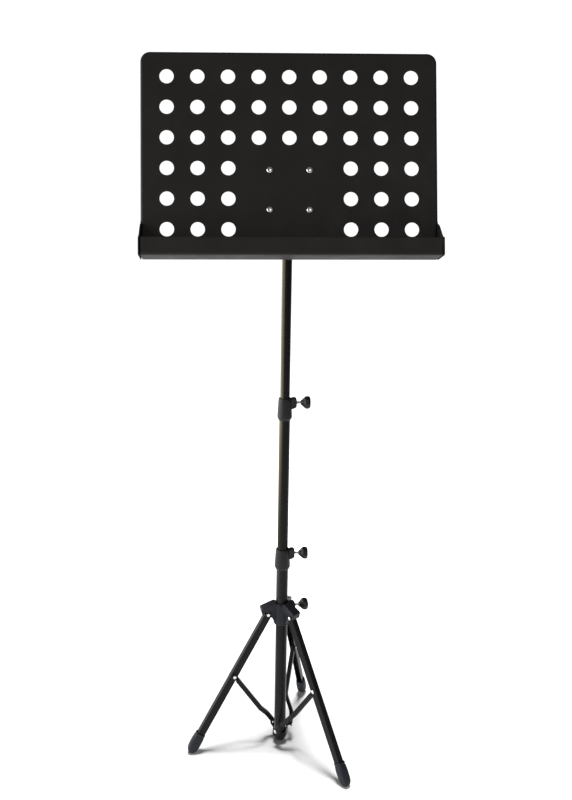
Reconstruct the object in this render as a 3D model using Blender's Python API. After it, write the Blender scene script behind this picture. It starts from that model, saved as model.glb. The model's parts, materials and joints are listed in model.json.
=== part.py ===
"""Folding music stand: a perforated steel desk on a three-section pole and a tripod with channel legs.

Metres, +Z up. The desk faces -Y and the pole's axis is vertical at (0, POLE_Y).
Each leg group is drawn in its own radial plane and turned to its azimuth about the pole.
"""

import math

import bmesh
import bpy
from mathutils import Matrix, Vector

MM = 0.001
GAP = 0.3 * MM  # clearance between neighbouring solids

# Pole
POLE_Y = -15.867 * MM  # puts the middle of the whole stand over the origin
LOWER_R, LOWER_WALL = 11.2 * MM, 1.0 * MM
MID_R, MID_WALL = 9.8 * MM, 1.0 * MM
UPPER_R, UPPER_WALL = 8.5 * MM, 1.0 * MM
TUBE_FLOOR = 12.6 * MM  # bottom end of the lower tube
LOWER_COLLAR_Z = 378.5 * MM  # bottom of each collar
UPPER_COLLAR_Z = 671.0 * MM
COLLAR_H = 40.0 * MM
COLLAR_LIP = 3.0 * MM  # inward lip that caps the outer tube's end
SCREW_UP = 32.0 * MM  # clamp screw's height above the collar's bottom
MID_INSERT = 82.0 * MM  # length of inner tube left inside the outer one
UPPER_INSERT = 84.0 * MM
PLUG_SQUASH = 0.55  # height of the bottom plug's dome as a share of its radius

# Clamp screws and knobs
SCREW_R = 2.5 * MM
SCREW_HOLE_R = SCREW_R + GAP
SCREW_TIP_GAP = 0.4 * MM  # between a screw's tip and the tube that it presses
INSERT_R, INSERT_LENGTH = 4.2 * MM, 7.0 * MM
KNOB_R, KNOB_LENGTH, KNOB_LOBES = 11.8 * MM, 17.0 * MM, 8
SHANK_SHOWN = 7.4 * MM  # bare screw between the boss and the knob
KNOB_SOCKET = 9.0 * MM  # screw's length inside the knob

# Tripod, measured in each leg's radial plane (distance from the pole's axis, height)
LEG_AZIMUTHS = {"left": 190.5, "front": 310.5, "back": 70.5}
HUB_PIVOT = (27.0 * MM, 286.5 * MM)
FOOT = (176.5 * MM, 8.385 * MM)
BRACE_SHARE = 0.45  # where the brace meets the leg, from the hub pivot to the foot
BASE_PIVOT = (10.0 * MM, 37.0 * MM)
LEG_WIDTH, LEG_DEPTH, LEG_WALL = 12.0 * MM, 13.8 * MM, 1.2 * MM
BRACE_WIDTH, BRACE_DEPTH, BRACE_WALL = 8.0 * MM, 8.6 * MM, 1.0 * MM
BRACE_PIN_INSET = 2.2 * MM  # brace pin's distance inward from the leg's middle line
PIN_R, PIN_HEAD_R, PIN_HEAD_H = 2.0 * MM, 3.5 * MM, 1.6 * MM
PIN_HOLE_R = PIN_R + GAP
BRACE_SLOT = 9.5 * MM  # free run that the brace's upper end needs half way through the fold
BRACE_BEND = (22.0 * MM, 54.0 * MM)  # where the sideways bend starts and ends, clear of the leg when folded
TAB_INNER, TAB_WALL = 12.0 * MM, 2.0 * MM  # base bracket's tabs, beside the tube
HUB_CLAMP_AZIMUTH, HUB_CLAMP_Z = 10.5, 300.0 * MM
HUB_BOTTOM, HUB_TOP, HUB_R = 265.0 * MM, 309.0 * MM, 15.5 * MM
BOOT_LENGTH = 38.0 * MM
LEG_END = 8.6 * MM  # end of the leg inside its boot, above the foot

# Tilt head
TILT_PIVOT_Z = 1062.7 * MM
TILT_BACK = math.radians(17.0)
PLATE_FROM_PIVOT = 36.0 * MM
HEAD_TAB_HALF = 7.0 * MM
HEAD_TAB_R = 10.5 * MM
SOCKET_R, SOCKET_LENGTH, SOCKET_DROP = 11.5 * MM, 39.0 * MM, 18.0 * MM
WASHER_R, WASHER_H = 8.0 * MM, 1.2 * MM
BOLT_R, BOLT_HEAD_R, BOLT_HEAD_H = 3.0 * MM, 5.4 * MM, 4.0 * MM

# Desk, in its own plane: x across, y behind the front face, z up from the middle of the hole pattern
DESK_HALF, DESK_TOP, DESK_BOTTOM = 243.0 * MM, 166.0 * MM, -175.0 * MM
DESK_CORNER_R, SHEET, EDGE_ROLL = 16.0 * MM, 1.0 * MM, 8.0 * MM
SHELF_DEPTH, LIP_HEIGHT, BEND_R = 45.0 * MM, 28.8 * MM, 4.0 * MM
CHEEK_TOP = -116.0 * MM
HOLE_PITCH, HOLE_R, HOLE_COLUMNS, HOLE_ROWS = 50.0 * MM, 11.7 * MM, 9, 6
HOLE_SIDES = 16
RIVET_MIDDLE, RIVET_HALF_PITCH = -60.2 * MM, 32.6 * MM
RIVET_HEAD_R, RIVET_HEAD_H = 5.2 * MM, 2.0 * MM
BRACKET_HALF, BRACKET_WALL = 43.0 * MM, 1.6 * MM
EAR_WALL, EAR_ROOT_HALF = 2.5 * MM, 25.0 * MM

# Values that follow from the ones above
LEG_RUN = Vector((FOOT[0] - HUB_PIVOT[0], FOOT[1] - HUB_PIVOT[1]))
LEG_LENGTH = LEG_RUN.length
LEG_ANGLE = math.atan2(LEG_RUN.x, -LEG_RUN.y)
BRACE_PIN_DROP = BRACE_SHARE * LEG_LENGTH
BRACE_PIN = (
    HUB_PIVOT[0] + BRACE_PIN_DROP * math.sin(LEG_ANGLE) - BRACE_PIN_INSET * math.cos(LEG_ANGLE),
    HUB_PIVOT[1] - BRACE_PIN_DROP * math.cos(LEG_ANGLE) - BRACE_PIN_INSET * math.sin(LEG_ANGLE),
)
BRACE_RUN = Vector((BRACE_PIN[0] - BASE_PIVOT[0], BRACE_PIN[1] - BASE_PIVOT[1]))
BRACE_LENGTH = BRACE_RUN.length
BRACE_ANGLE = math.atan2(BRACE_RUN.x, BRACE_RUN.y)
BRACE_OFFSET = -(TAB_INNER + TAB_WALL + GAP + BRACE_WIDTH / 2)  # sideways, at the brace's lower end
EAR_INNER = HEAD_TAB_HALF + WASHER_H + 2 * GAP

SIDES_LARGE, SIDES_MIDDLE, SIDES_SMALL, SIDES_PIN, SIDES_HEX = 30, 22, 14, 10, 12
WELD = 1e-6
Z_ONTO = {
    "X": Matrix.Rotation(math.pi / 2, 4, "Y"),
    "Y": Matrix.Rotation(-math.pi / 2, 4, "X"),
    "Z": Matrix(),
}

BLACK_STEEL = ("black_powder_coat", (0.028, 0.026, 0.026), 0.55, 0.0)
GLOSS_TUBE = ("gloss_black_tube", (0.020, 0.020, 0.021), 0.25, 0.0)
HUB_PLASTIC = ("black_plastic", (0.022, 0.022, 0.026), 0.45, 0.0)
BOOT_RUBBER = ("boot_rubber", (0.030, 0.034, 0.042), 0.6, 0.0)
ZINC = ("zinc_rivet", (0.72, 0.72, 0.70), 0.3, 1.0)
BRASS = ("brass_insert", (0.66, 0.56, 0.34), 0.32, 1.0)
KNOB_PLASTIC = ("knob_plastic", (0.020, 0.019, 0.022), 0.42, 0.0)
NYLON = ("nylon", (0.06, 0.06, 0.06), 0.5, 0.0)


def clear_scene():
    for obj in list(bpy.data.objects):
        bpy.data.objects.remove(obj, do_unlink=True)


def material(recipe):
    name, colour, roughness, metallic = recipe
    made = bpy.data.materials.get(name)
    if made:
        return made
    made = bpy.data.materials.new(name)
    made.use_nodes = True
    shader = made.node_tree.nodes["Principled BSDF"]
    shader.inputs["Base Color"].default_value = (*colour, 1.0)
    shader.inputs["Roughness"].default_value = roughness
    shader.inputs["Metallic"].default_value = metallic
    return made


def empty(name, location, parent=None, rotation=(0.0, 0.0, 0.0)):
    made = bpy.data.objects.new(name, None)
    made.location = location
    made.rotation_euler = rotation
    made.parent = parent
    bpy.context.scene.collection.objects.link(made)
    return made


def place(name, mesh, recipe, parent, location=(0.0, 0.0, 0.0), rotation=(0.0, 0.0, 0.0)):
    """A visible piece of the stand."""
    made = bpy.data.objects.new(name, mesh)
    made.location = location
    made.rotation_euler = rotation
    made.parent = parent
    if not mesh.materials:
        mesh.materials.append(material(recipe))
    bpy.context.scene.collection.objects.link(made)
    return made


def helper(name, mesh, parent, location=(0.0, 0.0, 0.0), rotation=(0.0, 0.0, 0.0)):
    """A Boolean's second shape, which isn't a piece."""
    made = bpy.data.objects.new(name, mesh)
    made.location = location
    made.rotation_euler = rotation
    made.parent = parent
    made.hide_render = True
    made.display_type = "WIRE"
    bpy.context.scene.collection.objects.link(made)
    return made


def boolean(target, other, operation):
    modifier = target.modifiers.new(other.name, "BOOLEAN")
    modifier.object = other
    modifier.operation = operation
    modifier.solver = "EXACT"


def mesh_from(bm, name, smooth_below=30.0):
    bmesh.ops.recalc_face_normals(bm, faces=bm.faces)
    if bm.calc_volume(signed=True) < 0:
        bmesh.ops.reverse_faces(bm, faces=bm.faces)
    mesh = bpy.data.meshes.new(name)
    bm.to_mesh(mesh)
    bm.free()
    mesh.shade_smooth()
    mesh.set_sharp_from_angle(angle=math.radians(smooth_below))
    return mesh


def spin_about_z(bm, geom, sides):
    bmesh.ops.spin(
        bm, geom=geom, cent=(0, 0, 0), axis=(0, 0, 1), angle=2 * math.pi, steps=sides, use_merge=True
    )
    bmesh.ops.remove_doubles(bm, verts=bm.verts, dist=WELD)


def turned(name, outline, sides, axis="Z"):
    """A closed outline of (radius, height) points spun about an axis. It may start and end on the axis."""
    bm = bmesh.new()
    verts = [bm.verts.new((radius, 0.0, height)) for radius, height in outline]
    on_axis = outline[0][0] == 0.0 and outline[-1][0] == 0.0
    pairs = list(zip(verts, verts[1:]))
    if not on_axis:
        pairs.append((verts[-1], verts[0]))
    edges = [bm.edges.new(pair) for pair in pairs]
    spin_about_z(bm, verts + edges, sides)
    bm.transform(Z_ONTO[axis])
    return mesh_from(bm, name)


def rod(name, radius, start, end, sides, axis="Z"):
    return turned(name, [(0.0, start), (radius, start), (radius, end), (0.0, end)], sides, axis)


def prism(name, outline, low, high, axis):
    """A flat outline pushed from low to high along X, Y or Z. Its points are on the other two axes."""
    spots = {
        "X": lambda a, b: (low, a, b),
        "Y": lambda a, b: (a, low, b),
        "Z": lambda a, b: (a, b, low),
    }
    push = {"X": Vector((1, 0, 0)), "Y": Vector((0, 1, 0)), "Z": Vector((0, 0, 1))}
    bm = bmesh.new()
    face = bm.faces.new([bm.verts.new(spots[axis](a, b)) for a, b in outline])
    pushed = bmesh.ops.extrude_face_region(bm, geom=[face])
    moved = [item for item in pushed["geom"] if isinstance(item, bmesh.types.BMVert)]
    bmesh.ops.translate(bm, verts=moved, vec=push[axis] * (high - low))
    return mesh_from(bm, name)


def block(name, low, high):
    outline = [(low[0], low[1]), (high[0], low[1]), (high[0], high[1]), (low[0], high[1])]
    return prism(name, outline, low[2], high[2], "Z")


def arc(middle, radius, start, end, steps):
    """Points round an arc, in degrees, both ends included."""
    return [
        (
            middle[0] + radius * math.cos(math.radians(start + (end - start) * i / steps)),
            middle[1] + radius * math.sin(math.radians(start + (end - start) * i / steps)),
        )
        for i in range(steps + 1)
    ]


def bridged(name, rings):
    """One closed skin through rings of points that all have the same number of points."""
    bm = bmesh.new()
    loops = [[bm.verts.new(point) for point in ring] for ring in rings]
    for first, second in zip(loops, loops[1:]):
        for i in range(len(first)):
            j = (i + 1) % len(first)
            bm.faces.new((first[i], first[j], second[j], second[i]))
    bm.faces.new(loops[0])
    bm.faces.new(loops[-1])
    return mesh_from(bm, name)


def tube(name, radius, wall, low, high):
    inner = radius - wall
    return turned(name, [(inner, low), (radius, low), (radius, high), (inner, high)], SIDES_LARGE)


def channel(name, width, depth, wall, stations):
    """A U channel along Z with its web at +X. Each station is (height, sideways shift)."""
    half, front, back = width / 2, depth / 2, -depth / 2
    section = [
        (back, -half), (front, -half), (front, half), (back, half),
        (back, half - wall), (front - wall, half - wall), (front - wall, -half + wall), (back, -half + wall),
    ]
    rings = [[(x, y + shift, height) for x, y in section] for height, shift in stations]
    return bridged(name, rings)


def end_rounder(name, radius, up, margin, half_width):
    """What a round end leaves off a bar: a rectangle less a half disc, in the XZ plane."""
    rim = arc((0.0, 0.0), radius, 0.0, 180.0, 10)
    far = radius + margin
    outline = [(far, 0.0), *rim, (-far, 0.0), (-far, far), (far, far)]
    outline = [(x, z if up else -z) for x, z in outline]
    return prism(name, outline, -half_width, half_width, "Y")


def rivet(name, low, high, low_r=PIN_HEAD_R, high_r=PIN_HEAD_R):
    """A rivet along Y with a domed head at each end of its grip."""
    flank, crown = 0.25 * PIN_HEAD_H, 0.8 * PIN_HEAD_H
    outline = [
        (0.0, low - PIN_HEAD_H), (0.6 * low_r, low - crown), (low_r, low - flank), (low_r, low),
        (PIN_R, low), (PIN_R, high),
        (high_r, high), (high_r, high + flank), (0.6 * high_r, high + crown), (0.0, high + PIN_HEAD_H),
    ]
    return turned(name, outline, SIDES_PIN, "Y")


def knob(name):
    """A lobed knob along X: narrow where its screw enters, widest near its outer end."""
    points = KNOB_LOBES * 3
    stations = [  # share of the length, share of the radius, depth of the lobes as a share of the radius
        (0.00, 0.36, 0.00), (0.10, 0.46, 0.00), (0.42, 0.80, 0.05), (0.60, 0.97, 0.09),
        (0.84, 1.00, 0.10), (0.96, 0.90, 0.08), (1.00, 0.72, 0.03),
    ]
    rings = []
    for along, share, lobe in stations:
        ring = []
        for i in range(points):
            turn = 2 * math.pi * i / points
            radius = KNOB_R * share * (1 - lobe * (0.5 - 0.5 * math.cos(KNOB_LOBES * turn)))
            ring.append((KNOB_LENGTH * along, radius * math.cos(turn), radius * math.sin(turn)))
        rings.append(ring)
    return bridged(name, rings)


def clamp(name, axis, tip, boss_end):
    """Insert, screw and knob of one clamp, along +X of the empty at its axis."""
    inner = SCREW_HOLE_R
    outline = [(inner, 0.0), (INSERT_R, 0.0), (INSERT_R, INSERT_LENGTH), (inner, INSERT_LENGTH)]
    insert = turned(name + "_insert", outline, SIDES_SMALL, "X")
    place(name + "_insert", insert, BRASS, axis, (boss_end - INSERT_LENGTH, 0, 0))
    knob_start = boss_end + SHANK_SHOWN
    shank = rod(name + "_screw", SCREW_R, tip, knob_start + KNOB_SOCKET, SIDES_SMALL, "X")
    place(name + "_screw", shank, ZINC, axis)
    place_knob(name + "_knob", axis, knob_start, SCREW_HOLE_R)


def place_knob(name, axis, start, hole_r):
    shown = place(name, knob(name), KNOB_PLASTIC, axis, (start, 0, 0))
    hole = rod(name + "_hole", hole_r, -2 * MM, KNOB_SOCKET + 1 * MM, SIDES_SMALL, "X")
    boolean(shown, helper(name + "_hole", hole, axis, (start, 0, 0)), "DIFFERENCE")


def boss_outline(start, end, height):
    """Side view of a clamp boss, round at its upper outer corner and slanted below."""
    corner = 5.0 * MM
    rim = arc((end - corner, height / 2 - corner), corner, 90.0, 0.0, 5)
    slant = [(end, -0.36 * height), (end - 2.5 * MM, -height / 2), (start, -height / 2 - 3 * MM)]
    return [(start, height / 2), *rim, *slant]


def add_clamp_boss(target, parent, boss_end, outer_wall, height, half_width):
    """A boss on +X of the parent, with the screw's hole and the insert's pocket cut through to the tube."""
    name = target.name
    solid = prism(name + "_boss", boss_outline(outer_wall, boss_end, height), -half_width, half_width, "Y")
    boolean(target, helper(name + "_boss", solid, parent), "UNION")
    inside, outside = outer_wall - 5 * MM, boss_end + 5 * MM
    hole = rod(name + "_screw_hole", SCREW_HOLE_R + GAP, inside, outside, SIDES_SMALL, "X")
    boolean(target, helper(name + "_screw_hole", hole, parent), "DIFFERENCE")
    pocket_floor = boss_end - INSERT_LENGTH - GAP
    pocket = rod(name + "_pocket", INSERT_R + GAP, pocket_floor, outside, SIDES_SMALL, "X")
    boolean(target, helper(name + "_pocket", pocket, parent), "DIFFERENCE")


def make_collar(name, parent, outer_tube_r, inner_tube_r):
    """Collar over an outer tube's end. Its parent empty is on the pole's axis at the screw's height."""
    low, high = -SCREW_UP, COLLAR_H - SCREW_UP
    bore, mouth = outer_tube_r + GAP, inner_tube_r + 0.4 * MM
    shoulder = high - COLLAR_LIP
    outline = [
        (bore, low), (outer_tube_r + 1.0 * MM, low), (outer_tube_r + 3.4 * MM, low + 5 * MM),
        (outer_tube_r + 3.2 * MM, low + 12 * MM), (outer_tube_r + 1.5 * MM, high - 1.2 * MM),
        (outer_tube_r + 0.7 * MM, high), (mouth, high), (mouth, shoulder), (bore, shoulder),
    ]
    collar = place(name, turned(name, outline, SIDES_LARGE), HUB_PLASTIC, parent)
    boss_end = outer_tube_r + 11.2 * MM
    add_clamp_boss(collar, parent, boss_end, outer_tube_r + 0.6 * MM, 18.0 * MM, 6.6 * MM)
    return boss_end


def make_tube(name, parent, radius, wall, low, high, screw_height=None):
    """One section of the pole, with a hole for the clamp screw if it has a height."""
    made = place(name, tube(name, radius, wall, low, high), GLOSS_TUBE, parent)
    if screw_height is not None:
        hole = rod(name + "_hole", SCREW_HOLE_R + GAP, radius - 4 * MM, radius + 4 * MM, SIDES_SMALL, "X")
        boolean(made, helper(name + "_hole", hole, parent, (0, 0, screw_height)), "DIFFERENCE")
    return made


def make_stop(name, parent, radius, wall, tube_end):
    """Plug in the bottom end of an inner tube."""
    fit = radius - wall - GAP
    low = tube_end - GAP - 3 * MM
    outline = [
        (0.0, low), (radius - 0.8 * MM, low), (radius, low + 1 * MM), (radius, low + 3 * MM),
        (fit, low + 3 * MM), (fit, low + 14 * MM), (0.0, low + 14 * MM),
    ]
    place(name, turned(name, outline, SIDES_MIDDLE), NYLON, parent)


def make_pole(root):
    """The three tubes, their collars and clamps. Returns the empty of the upper tube."""
    lower_screw = LOWER_COLLAR_Z + SCREW_UP
    upper_screw = UPPER_COLLAR_Z + SCREW_UP
    lower_top = LOWER_COLLAR_Z + COLLAR_H - COLLAR_LIP - GAP
    mid_top = UPPER_COLLAR_Z + COLLAR_H - COLLAR_LIP - GAP
    make_tube("lower_tube", root, LOWER_R, LOWER_WALL, TUBE_FLOOR, lower_top, lower_screw)
    fit = LOWER_R - LOWER_WALL - GAP
    top = TUBE_FLOOR - GAP
    rim = top - 1 * MM
    dome = [(r, rim + z * PLUG_SQUASH) for r, z in arc((0.0, 0.0), LOWER_R, -90.0, 0.0, 5)]
    outline = [(0.0, dome[0][1]), *dome[1:], (LOWER_R, top), (fit, top), (fit, top + 16 * MM)]
    outline += [(0.0, top + 16 * MM)]
    place("bottom_plug", turned("bottom_plug", outline, SIDES_LARGE), BOOT_RUBBER, root)

    lower_clamp = empty("lower_clamp_axis", (0, 0, lower_screw), root)
    boss_end = make_collar("lower_collar", lower_clamp, LOWER_R, MID_R)
    clamp("lower_clamp", lower_clamp, MID_R + SCREW_TIP_GAP, boss_end)

    mid = empty("mid_axis", (0, 0, 0), root)
    mid_low = lower_top - MID_INSERT
    make_tube("mid_tube", mid, MID_R, MID_WALL, mid_low, mid_top, upper_screw)
    make_stop("mid_tube_stop", mid, MID_R, MID_WALL, mid_low)
    upper_clamp = empty("upper_clamp_axis", (0, 0, upper_screw), mid)
    boss_end = make_collar("upper_collar", upper_clamp, MID_R, UPPER_R)
    clamp("upper_clamp", upper_clamp, UPPER_R + SCREW_TIP_GAP, boss_end)

    upper = empty("upper_axis", (0, 0, 0), mid)
    upper_low = mid_top - UPPER_INSERT
    make_tube("upper_tube", upper, UPPER_R, UPPER_WALL, upper_low, TILT_PIVOT_Z - SOCKET_DROP - 3 * MM)
    make_stop("upper_tube_stop", upper, UPPER_R, UPPER_WALL, upper_low)
    return upper


def hub_arm_outline():
    """Hood and fin of one arm, in the radial plane."""
    pivot_r, pivot_z = HUB_PIVOT
    under = pivot_z + LEG_DEPTH / 2 + 0.8 * MM
    return {
        "hood": [
            (12.0 * MM, under), (35.6 * MM, under),
            (36.4 * MM, pivot_z + 2.2 * MM), (39.4 * MM, pivot_z + 1.6 * MM),
            (41.6 * MM, pivot_z + 13.0 * MM), (40.4 * MM, pivot_z + 15.0 * MM),
            (12.0 * MM, pivot_z + 26.0 * MM),
        ],
        "fin": [
            (13.0 * MM, pivot_z - 18.0 * MM), (17.0 * MM, pivot_z - 17.0 * MM),
            (pivot_r, pivot_z - 5.0 * MM), *arc((pivot_r, pivot_z), 5.0 * MM, -70.0, 60.0, 6),
            (30.0 * MM, under + 1.0 * MM), (13.0 * MM, under + 1.0 * MM),
        ],
    }


def make_hub(root):
    hub_axis = empty("hub_axis", (0, 0, 0), root)
    bore = LOWER_R + 0.4 * MM
    outline = [
        (bore, HUB_BOTTOM), (HUB_R - 1.5 * MM, HUB_BOTTOM), (HUB_R, HUB_BOTTOM + 1.5 * MM),
        (HUB_R, HUB_TOP - 2.0 * MM), (HUB_R - 1.6 * MM, HUB_TOP), (bore, HUB_TOP),
    ]
    hub = place("hub", turned("hub", outline, SIDES_LARGE), HUB_PLASTIC, hub_axis)
    widths = {"hood": 9.2 * MM, "fin": LEG_WIDTH / 2 - LEG_WALL - GAP}
    meshes = {
        part: prism("hub_" + part, points, -widths[part], widths[part], "Y")
        for part, points in hub_arm_outline().items()
    }
    pin_hole = rod("hub_pin_hole", PIN_HOLE_R, -8 * MM, 8 * MM, SIDES_PIN, "Y")
    for side, azimuth in LEG_AZIMUTHS.items():
        turn = (0, 0, math.radians(azimuth))
        for part, mesh in meshes.items():
            boolean(hub, helper(f"hub_{part}_{side}", mesh, hub_axis, rotation=turn), "UNION")
        spot = Matrix.Rotation(turn[2], 3, "Z") @ Vector((HUB_PIVOT[0], 0, HUB_PIVOT[1]))
        boolean(hub, helper("hub_pin_hole_" + side, pin_hole, hub_axis, spot, turn), "DIFFERENCE")
    turn = (0, 0, math.radians(HUB_CLAMP_AZIMUTH))
    hub_clamp = empty("hub_clamp_axis", (0, 0, HUB_CLAMP_Z), hub_axis, turn)
    boss_end = LOWER_R + 14.6 * MM
    add_clamp_boss(hub, hub_clamp, boss_end, LOWER_R + 1.0 * MM, 15.0 * MM, 6.6 * MM)
    clamp("hub_clamp", hub_clamp, LOWER_R + SCREW_TIP_GAP, boss_end)


def leg_mesh_pieces():
    stations = [(-LEG_LENGTH + LEG_END, 0.0), (LEG_DEPTH / 2, 0.0)]
    return {
        "leg": channel("leg", LEG_WIDTH, LEG_DEPTH, LEG_WALL, stations),
        "rounder": end_rounder("leg_rounder", LEG_DEPTH / 2, True, 2 * MM, LEG_WIDTH),
        "web_cut": block(
            "leg_web_cut",
            (LEG_DEPTH / 2 - LEG_WALL - 0.2 * MM, -LEG_WIDTH, -1.0 * MM),
            (LEG_DEPTH, LEG_WIDTH, LEG_DEPTH),
        ),
        "hole": rod("leg_hole", PIN_HOLE_R, -LEG_WIDTH, LEG_WIDTH, SIDES_PIN, "Y"),
        "pin": rivet("leg_pin", -LEG_WIDTH / 2 - GAP, LEG_WIDTH / 2 + GAP),
        "boot": boot_skin(),
        "pocket": block(
            "boot_pocket",
            (-LEG_DEPTH / 2 - GAP, -LEG_WIDTH / 2 - GAP, LEG_END - GAP),
            (LEG_DEPTH / 2 + GAP, LEG_WIDTH / 2 + GAP, BOOT_LENGTH + 5 * MM),
        ),
    }


def boot_skin():
    """Outside of a rubber boot. Its middle line is the leg's, and z = 0 is the foot."""
    stations = [  # height, half width, half depth
        (BOOT_LENGTH / MM, 7.6, 8.5), (34.0, 8.3, 9.6), (20.0, 9.2, 11.0),
        (8.0, 9.0, 10.6), (0.0, 8.2, 9.4), (-5.0, 6.2, 7.0), (-7.6, 3.2, 3.6),
    ]
    points, power = 20, 0.62  # the power makes an oval a rounded rectangle
    rings = []
    for height, half_width, half_depth in stations:
        ring = []
        for i in range(points):
            turn = 2 * math.pi * (i + 0.5) / points
            across, along = math.cos(turn), math.sin(turn)
            ring.append((
                math.copysign(abs(across) ** power, across) * half_depth * MM,
                math.copysign(abs(along) ** power, along) * half_width * MM,
                height * MM,
            ))
        rings.append(ring)
    return bridged("boot", rings)


def brace_mesh_pieces():
    reach = BRACE_DEPTH / 2
    stations = [
        (-reach, BRACE_OFFSET), (BRACE_BEND[0], BRACE_OFFSET),
        (BRACE_BEND[1], 0.0), (BRACE_LENGTH + reach, 0.0),
    ]
    slot = [
        (BRACE_DEPTH, BRACE_LENGTH + PIN_HOLE_R), *arc((0.0, BRACE_LENGTH), PIN_HOLE_R, 90.0, 180.0, 4),
        (-PIN_HOLE_R, BRACE_LENGTH - BRACE_SLOT), (BRACE_DEPTH, BRACE_LENGTH - BRACE_SLOT - PIN_HOLE_R),
    ]
    return {
        "brace": channel("brace", BRACE_WIDTH, BRACE_DEPTH, BRACE_WALL, stations),
        "low_rounder": end_rounder("brace_low_rounder", reach, False, 2 * MM, BRACE_WIDTH),
        "high_rounder": end_rounder("brace_high_rounder", reach, True, 2 * MM, BRACE_WIDTH),
        "hole": rod("brace_hole", PIN_HOLE_R, -BRACE_WIDTH, BRACE_WIDTH, SIDES_PIN, "Y"),
        "slot": prism("brace_slot", slot, -BRACE_WIDTH, BRACE_WIDTH, "Y"),
        "pin": rivet("base_pin", -(TAB_INNER + TAB_WALL + 2 * GAP + BRACE_WIDTH), -TAB_INNER + GAP,
                     PIN_HEAD_R, 3.0 * MM),
    }


def make_leg(side, azimuth, root, pieces):
    leg_axis = empty(f"leg_{side}_axis", (0, 0, 0), root, (0, 0, math.radians(azimuth)))
    pivot = empty(f"leg_{side}_pivot", (HUB_PIVOT[0], 0, HUB_PIVOT[1]), leg_axis, (0, -LEG_ANGLE, 0))
    brace_spot = (-BRACE_PIN_INSET, 0, -BRACE_PIN_DROP)
    leg = place("leg_" + side, pieces["leg"], BLACK_STEEL, pivot)
    boolean(leg, helper(f"leg_{side}_rounder", pieces["rounder"], pivot), "DIFFERENCE")
    boolean(leg, helper(f"leg_{side}_web_cut", pieces["web_cut"], pivot), "DIFFERENCE")
    boolean(leg, helper(f"leg_{side}_hole", pieces["hole"], pivot), "DIFFERENCE")
    boolean(leg, helper(f"leg_{side}_brace_hole", pieces["hole"], pivot, brace_spot), "DIFFERENCE")
    place("hub_pin_" + side, pieces["pin"], ZINC, pivot)
    place("brace_pin_" + side, pieces["pin"], ZINC, pivot, brace_spot)
    foot = (0, 0, -LEG_LENGTH)
    boot = place("boot_" + side, pieces["boot"], BOOT_RUBBER, pivot, foot)
    boolean(boot, helper("boot_pocket_" + side, pieces["pocket"], pivot, foot), "DIFFERENCE")


def make_brace(side, azimuth, root, pieces):
    """The brace's web faces the pole, so its mesh is turned half round about its length."""
    brace_axis = empty(f"brace_{side}_axis", (0, 0, 0), root, (0, 0, math.radians(azimuth)))
    pivot = empty(f"brace_{side}_pivot", (BASE_PIVOT[0], 0, BASE_PIVOT[1]), brace_axis, (0, BRACE_ANGLE, 0))
    brace = place("brace_" + side, pieces["brace"], BLACK_STEEL, pivot)
    brace.scale = (-1, 1, 1)
    low, high = (0, BRACE_OFFSET, 0), (0, 0, BRACE_LENGTH)
    boolean(brace, helper(f"brace_{side}_low", pieces["low_rounder"], pivot, low), "DIFFERENCE")
    boolean(brace, helper(f"brace_{side}_high", pieces["high_rounder"], pivot, high), "DIFFERENCE")
    boolean(brace, helper(f"brace_{side}_hole", pieces["hole"], pivot, low), "DIFFERENCE")
    boolean(brace, helper(f"brace_{side}_slot", pieces["slot"], pivot), "DIFFERENCE")
    place("base_pin_" + side, pieces["pin"], ZINC, brace_axis, (BASE_PIVOT[0], 0, BASE_PIVOT[1]))


def make_base_bracket(root):
    """Sleeve round the lower tube with three tabs, each beside the tube and square to its brace's pin."""
    low, high = 16.0 * MM, 28.0 * MM
    inner = LOWER_R + GAP
    outline = [(inner, low), (TAB_INNER + 1.6 * MM, low), (TAB_INNER + 1.6 * MM, high), (inner, high)]
    bracket = place("base_bracket", turned("base_bracket", outline, SIDES_LARGE), BLACK_STEEL, root)
    pin_r, pin_z = BASE_PIVOT
    tab = [
        (-6.0 * MM, low + 0.4 * MM), (6.0 * MM, low + 0.4 * MM), (pin_r + 6.0 * MM, pin_z - 3 * MM),
        *arc(BASE_PIVOT, 6.2 * MM, -20.0, 170.0, 8), (-6.0 * MM, high - 0.4 * MM),
    ]
    tab_mesh = prism("base_tab", tab, -TAB_INNER - TAB_WALL, -TAB_INNER, "Y")
    hole = rod("base_hole", PIN_HOLE_R, -TAB_INNER - 4 * MM, -TAB_INNER + 2 * MM, SIDES_PIN, "Y")
    for side, azimuth in LEG_AZIMUTHS.items():
        turn = (0, 0, math.radians(azimuth))
        boolean(bracket, helper("base_tab_" + side, tab_mesh, root, rotation=turn), "UNION")
        spot = Matrix.Rotation(turn[2], 3, "Z") @ Vector((pin_r, 0, pin_z))
        boolean(bracket, helper("base_hole_" + side, hole, root, spot, turn), "DIFFERENCE")


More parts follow.
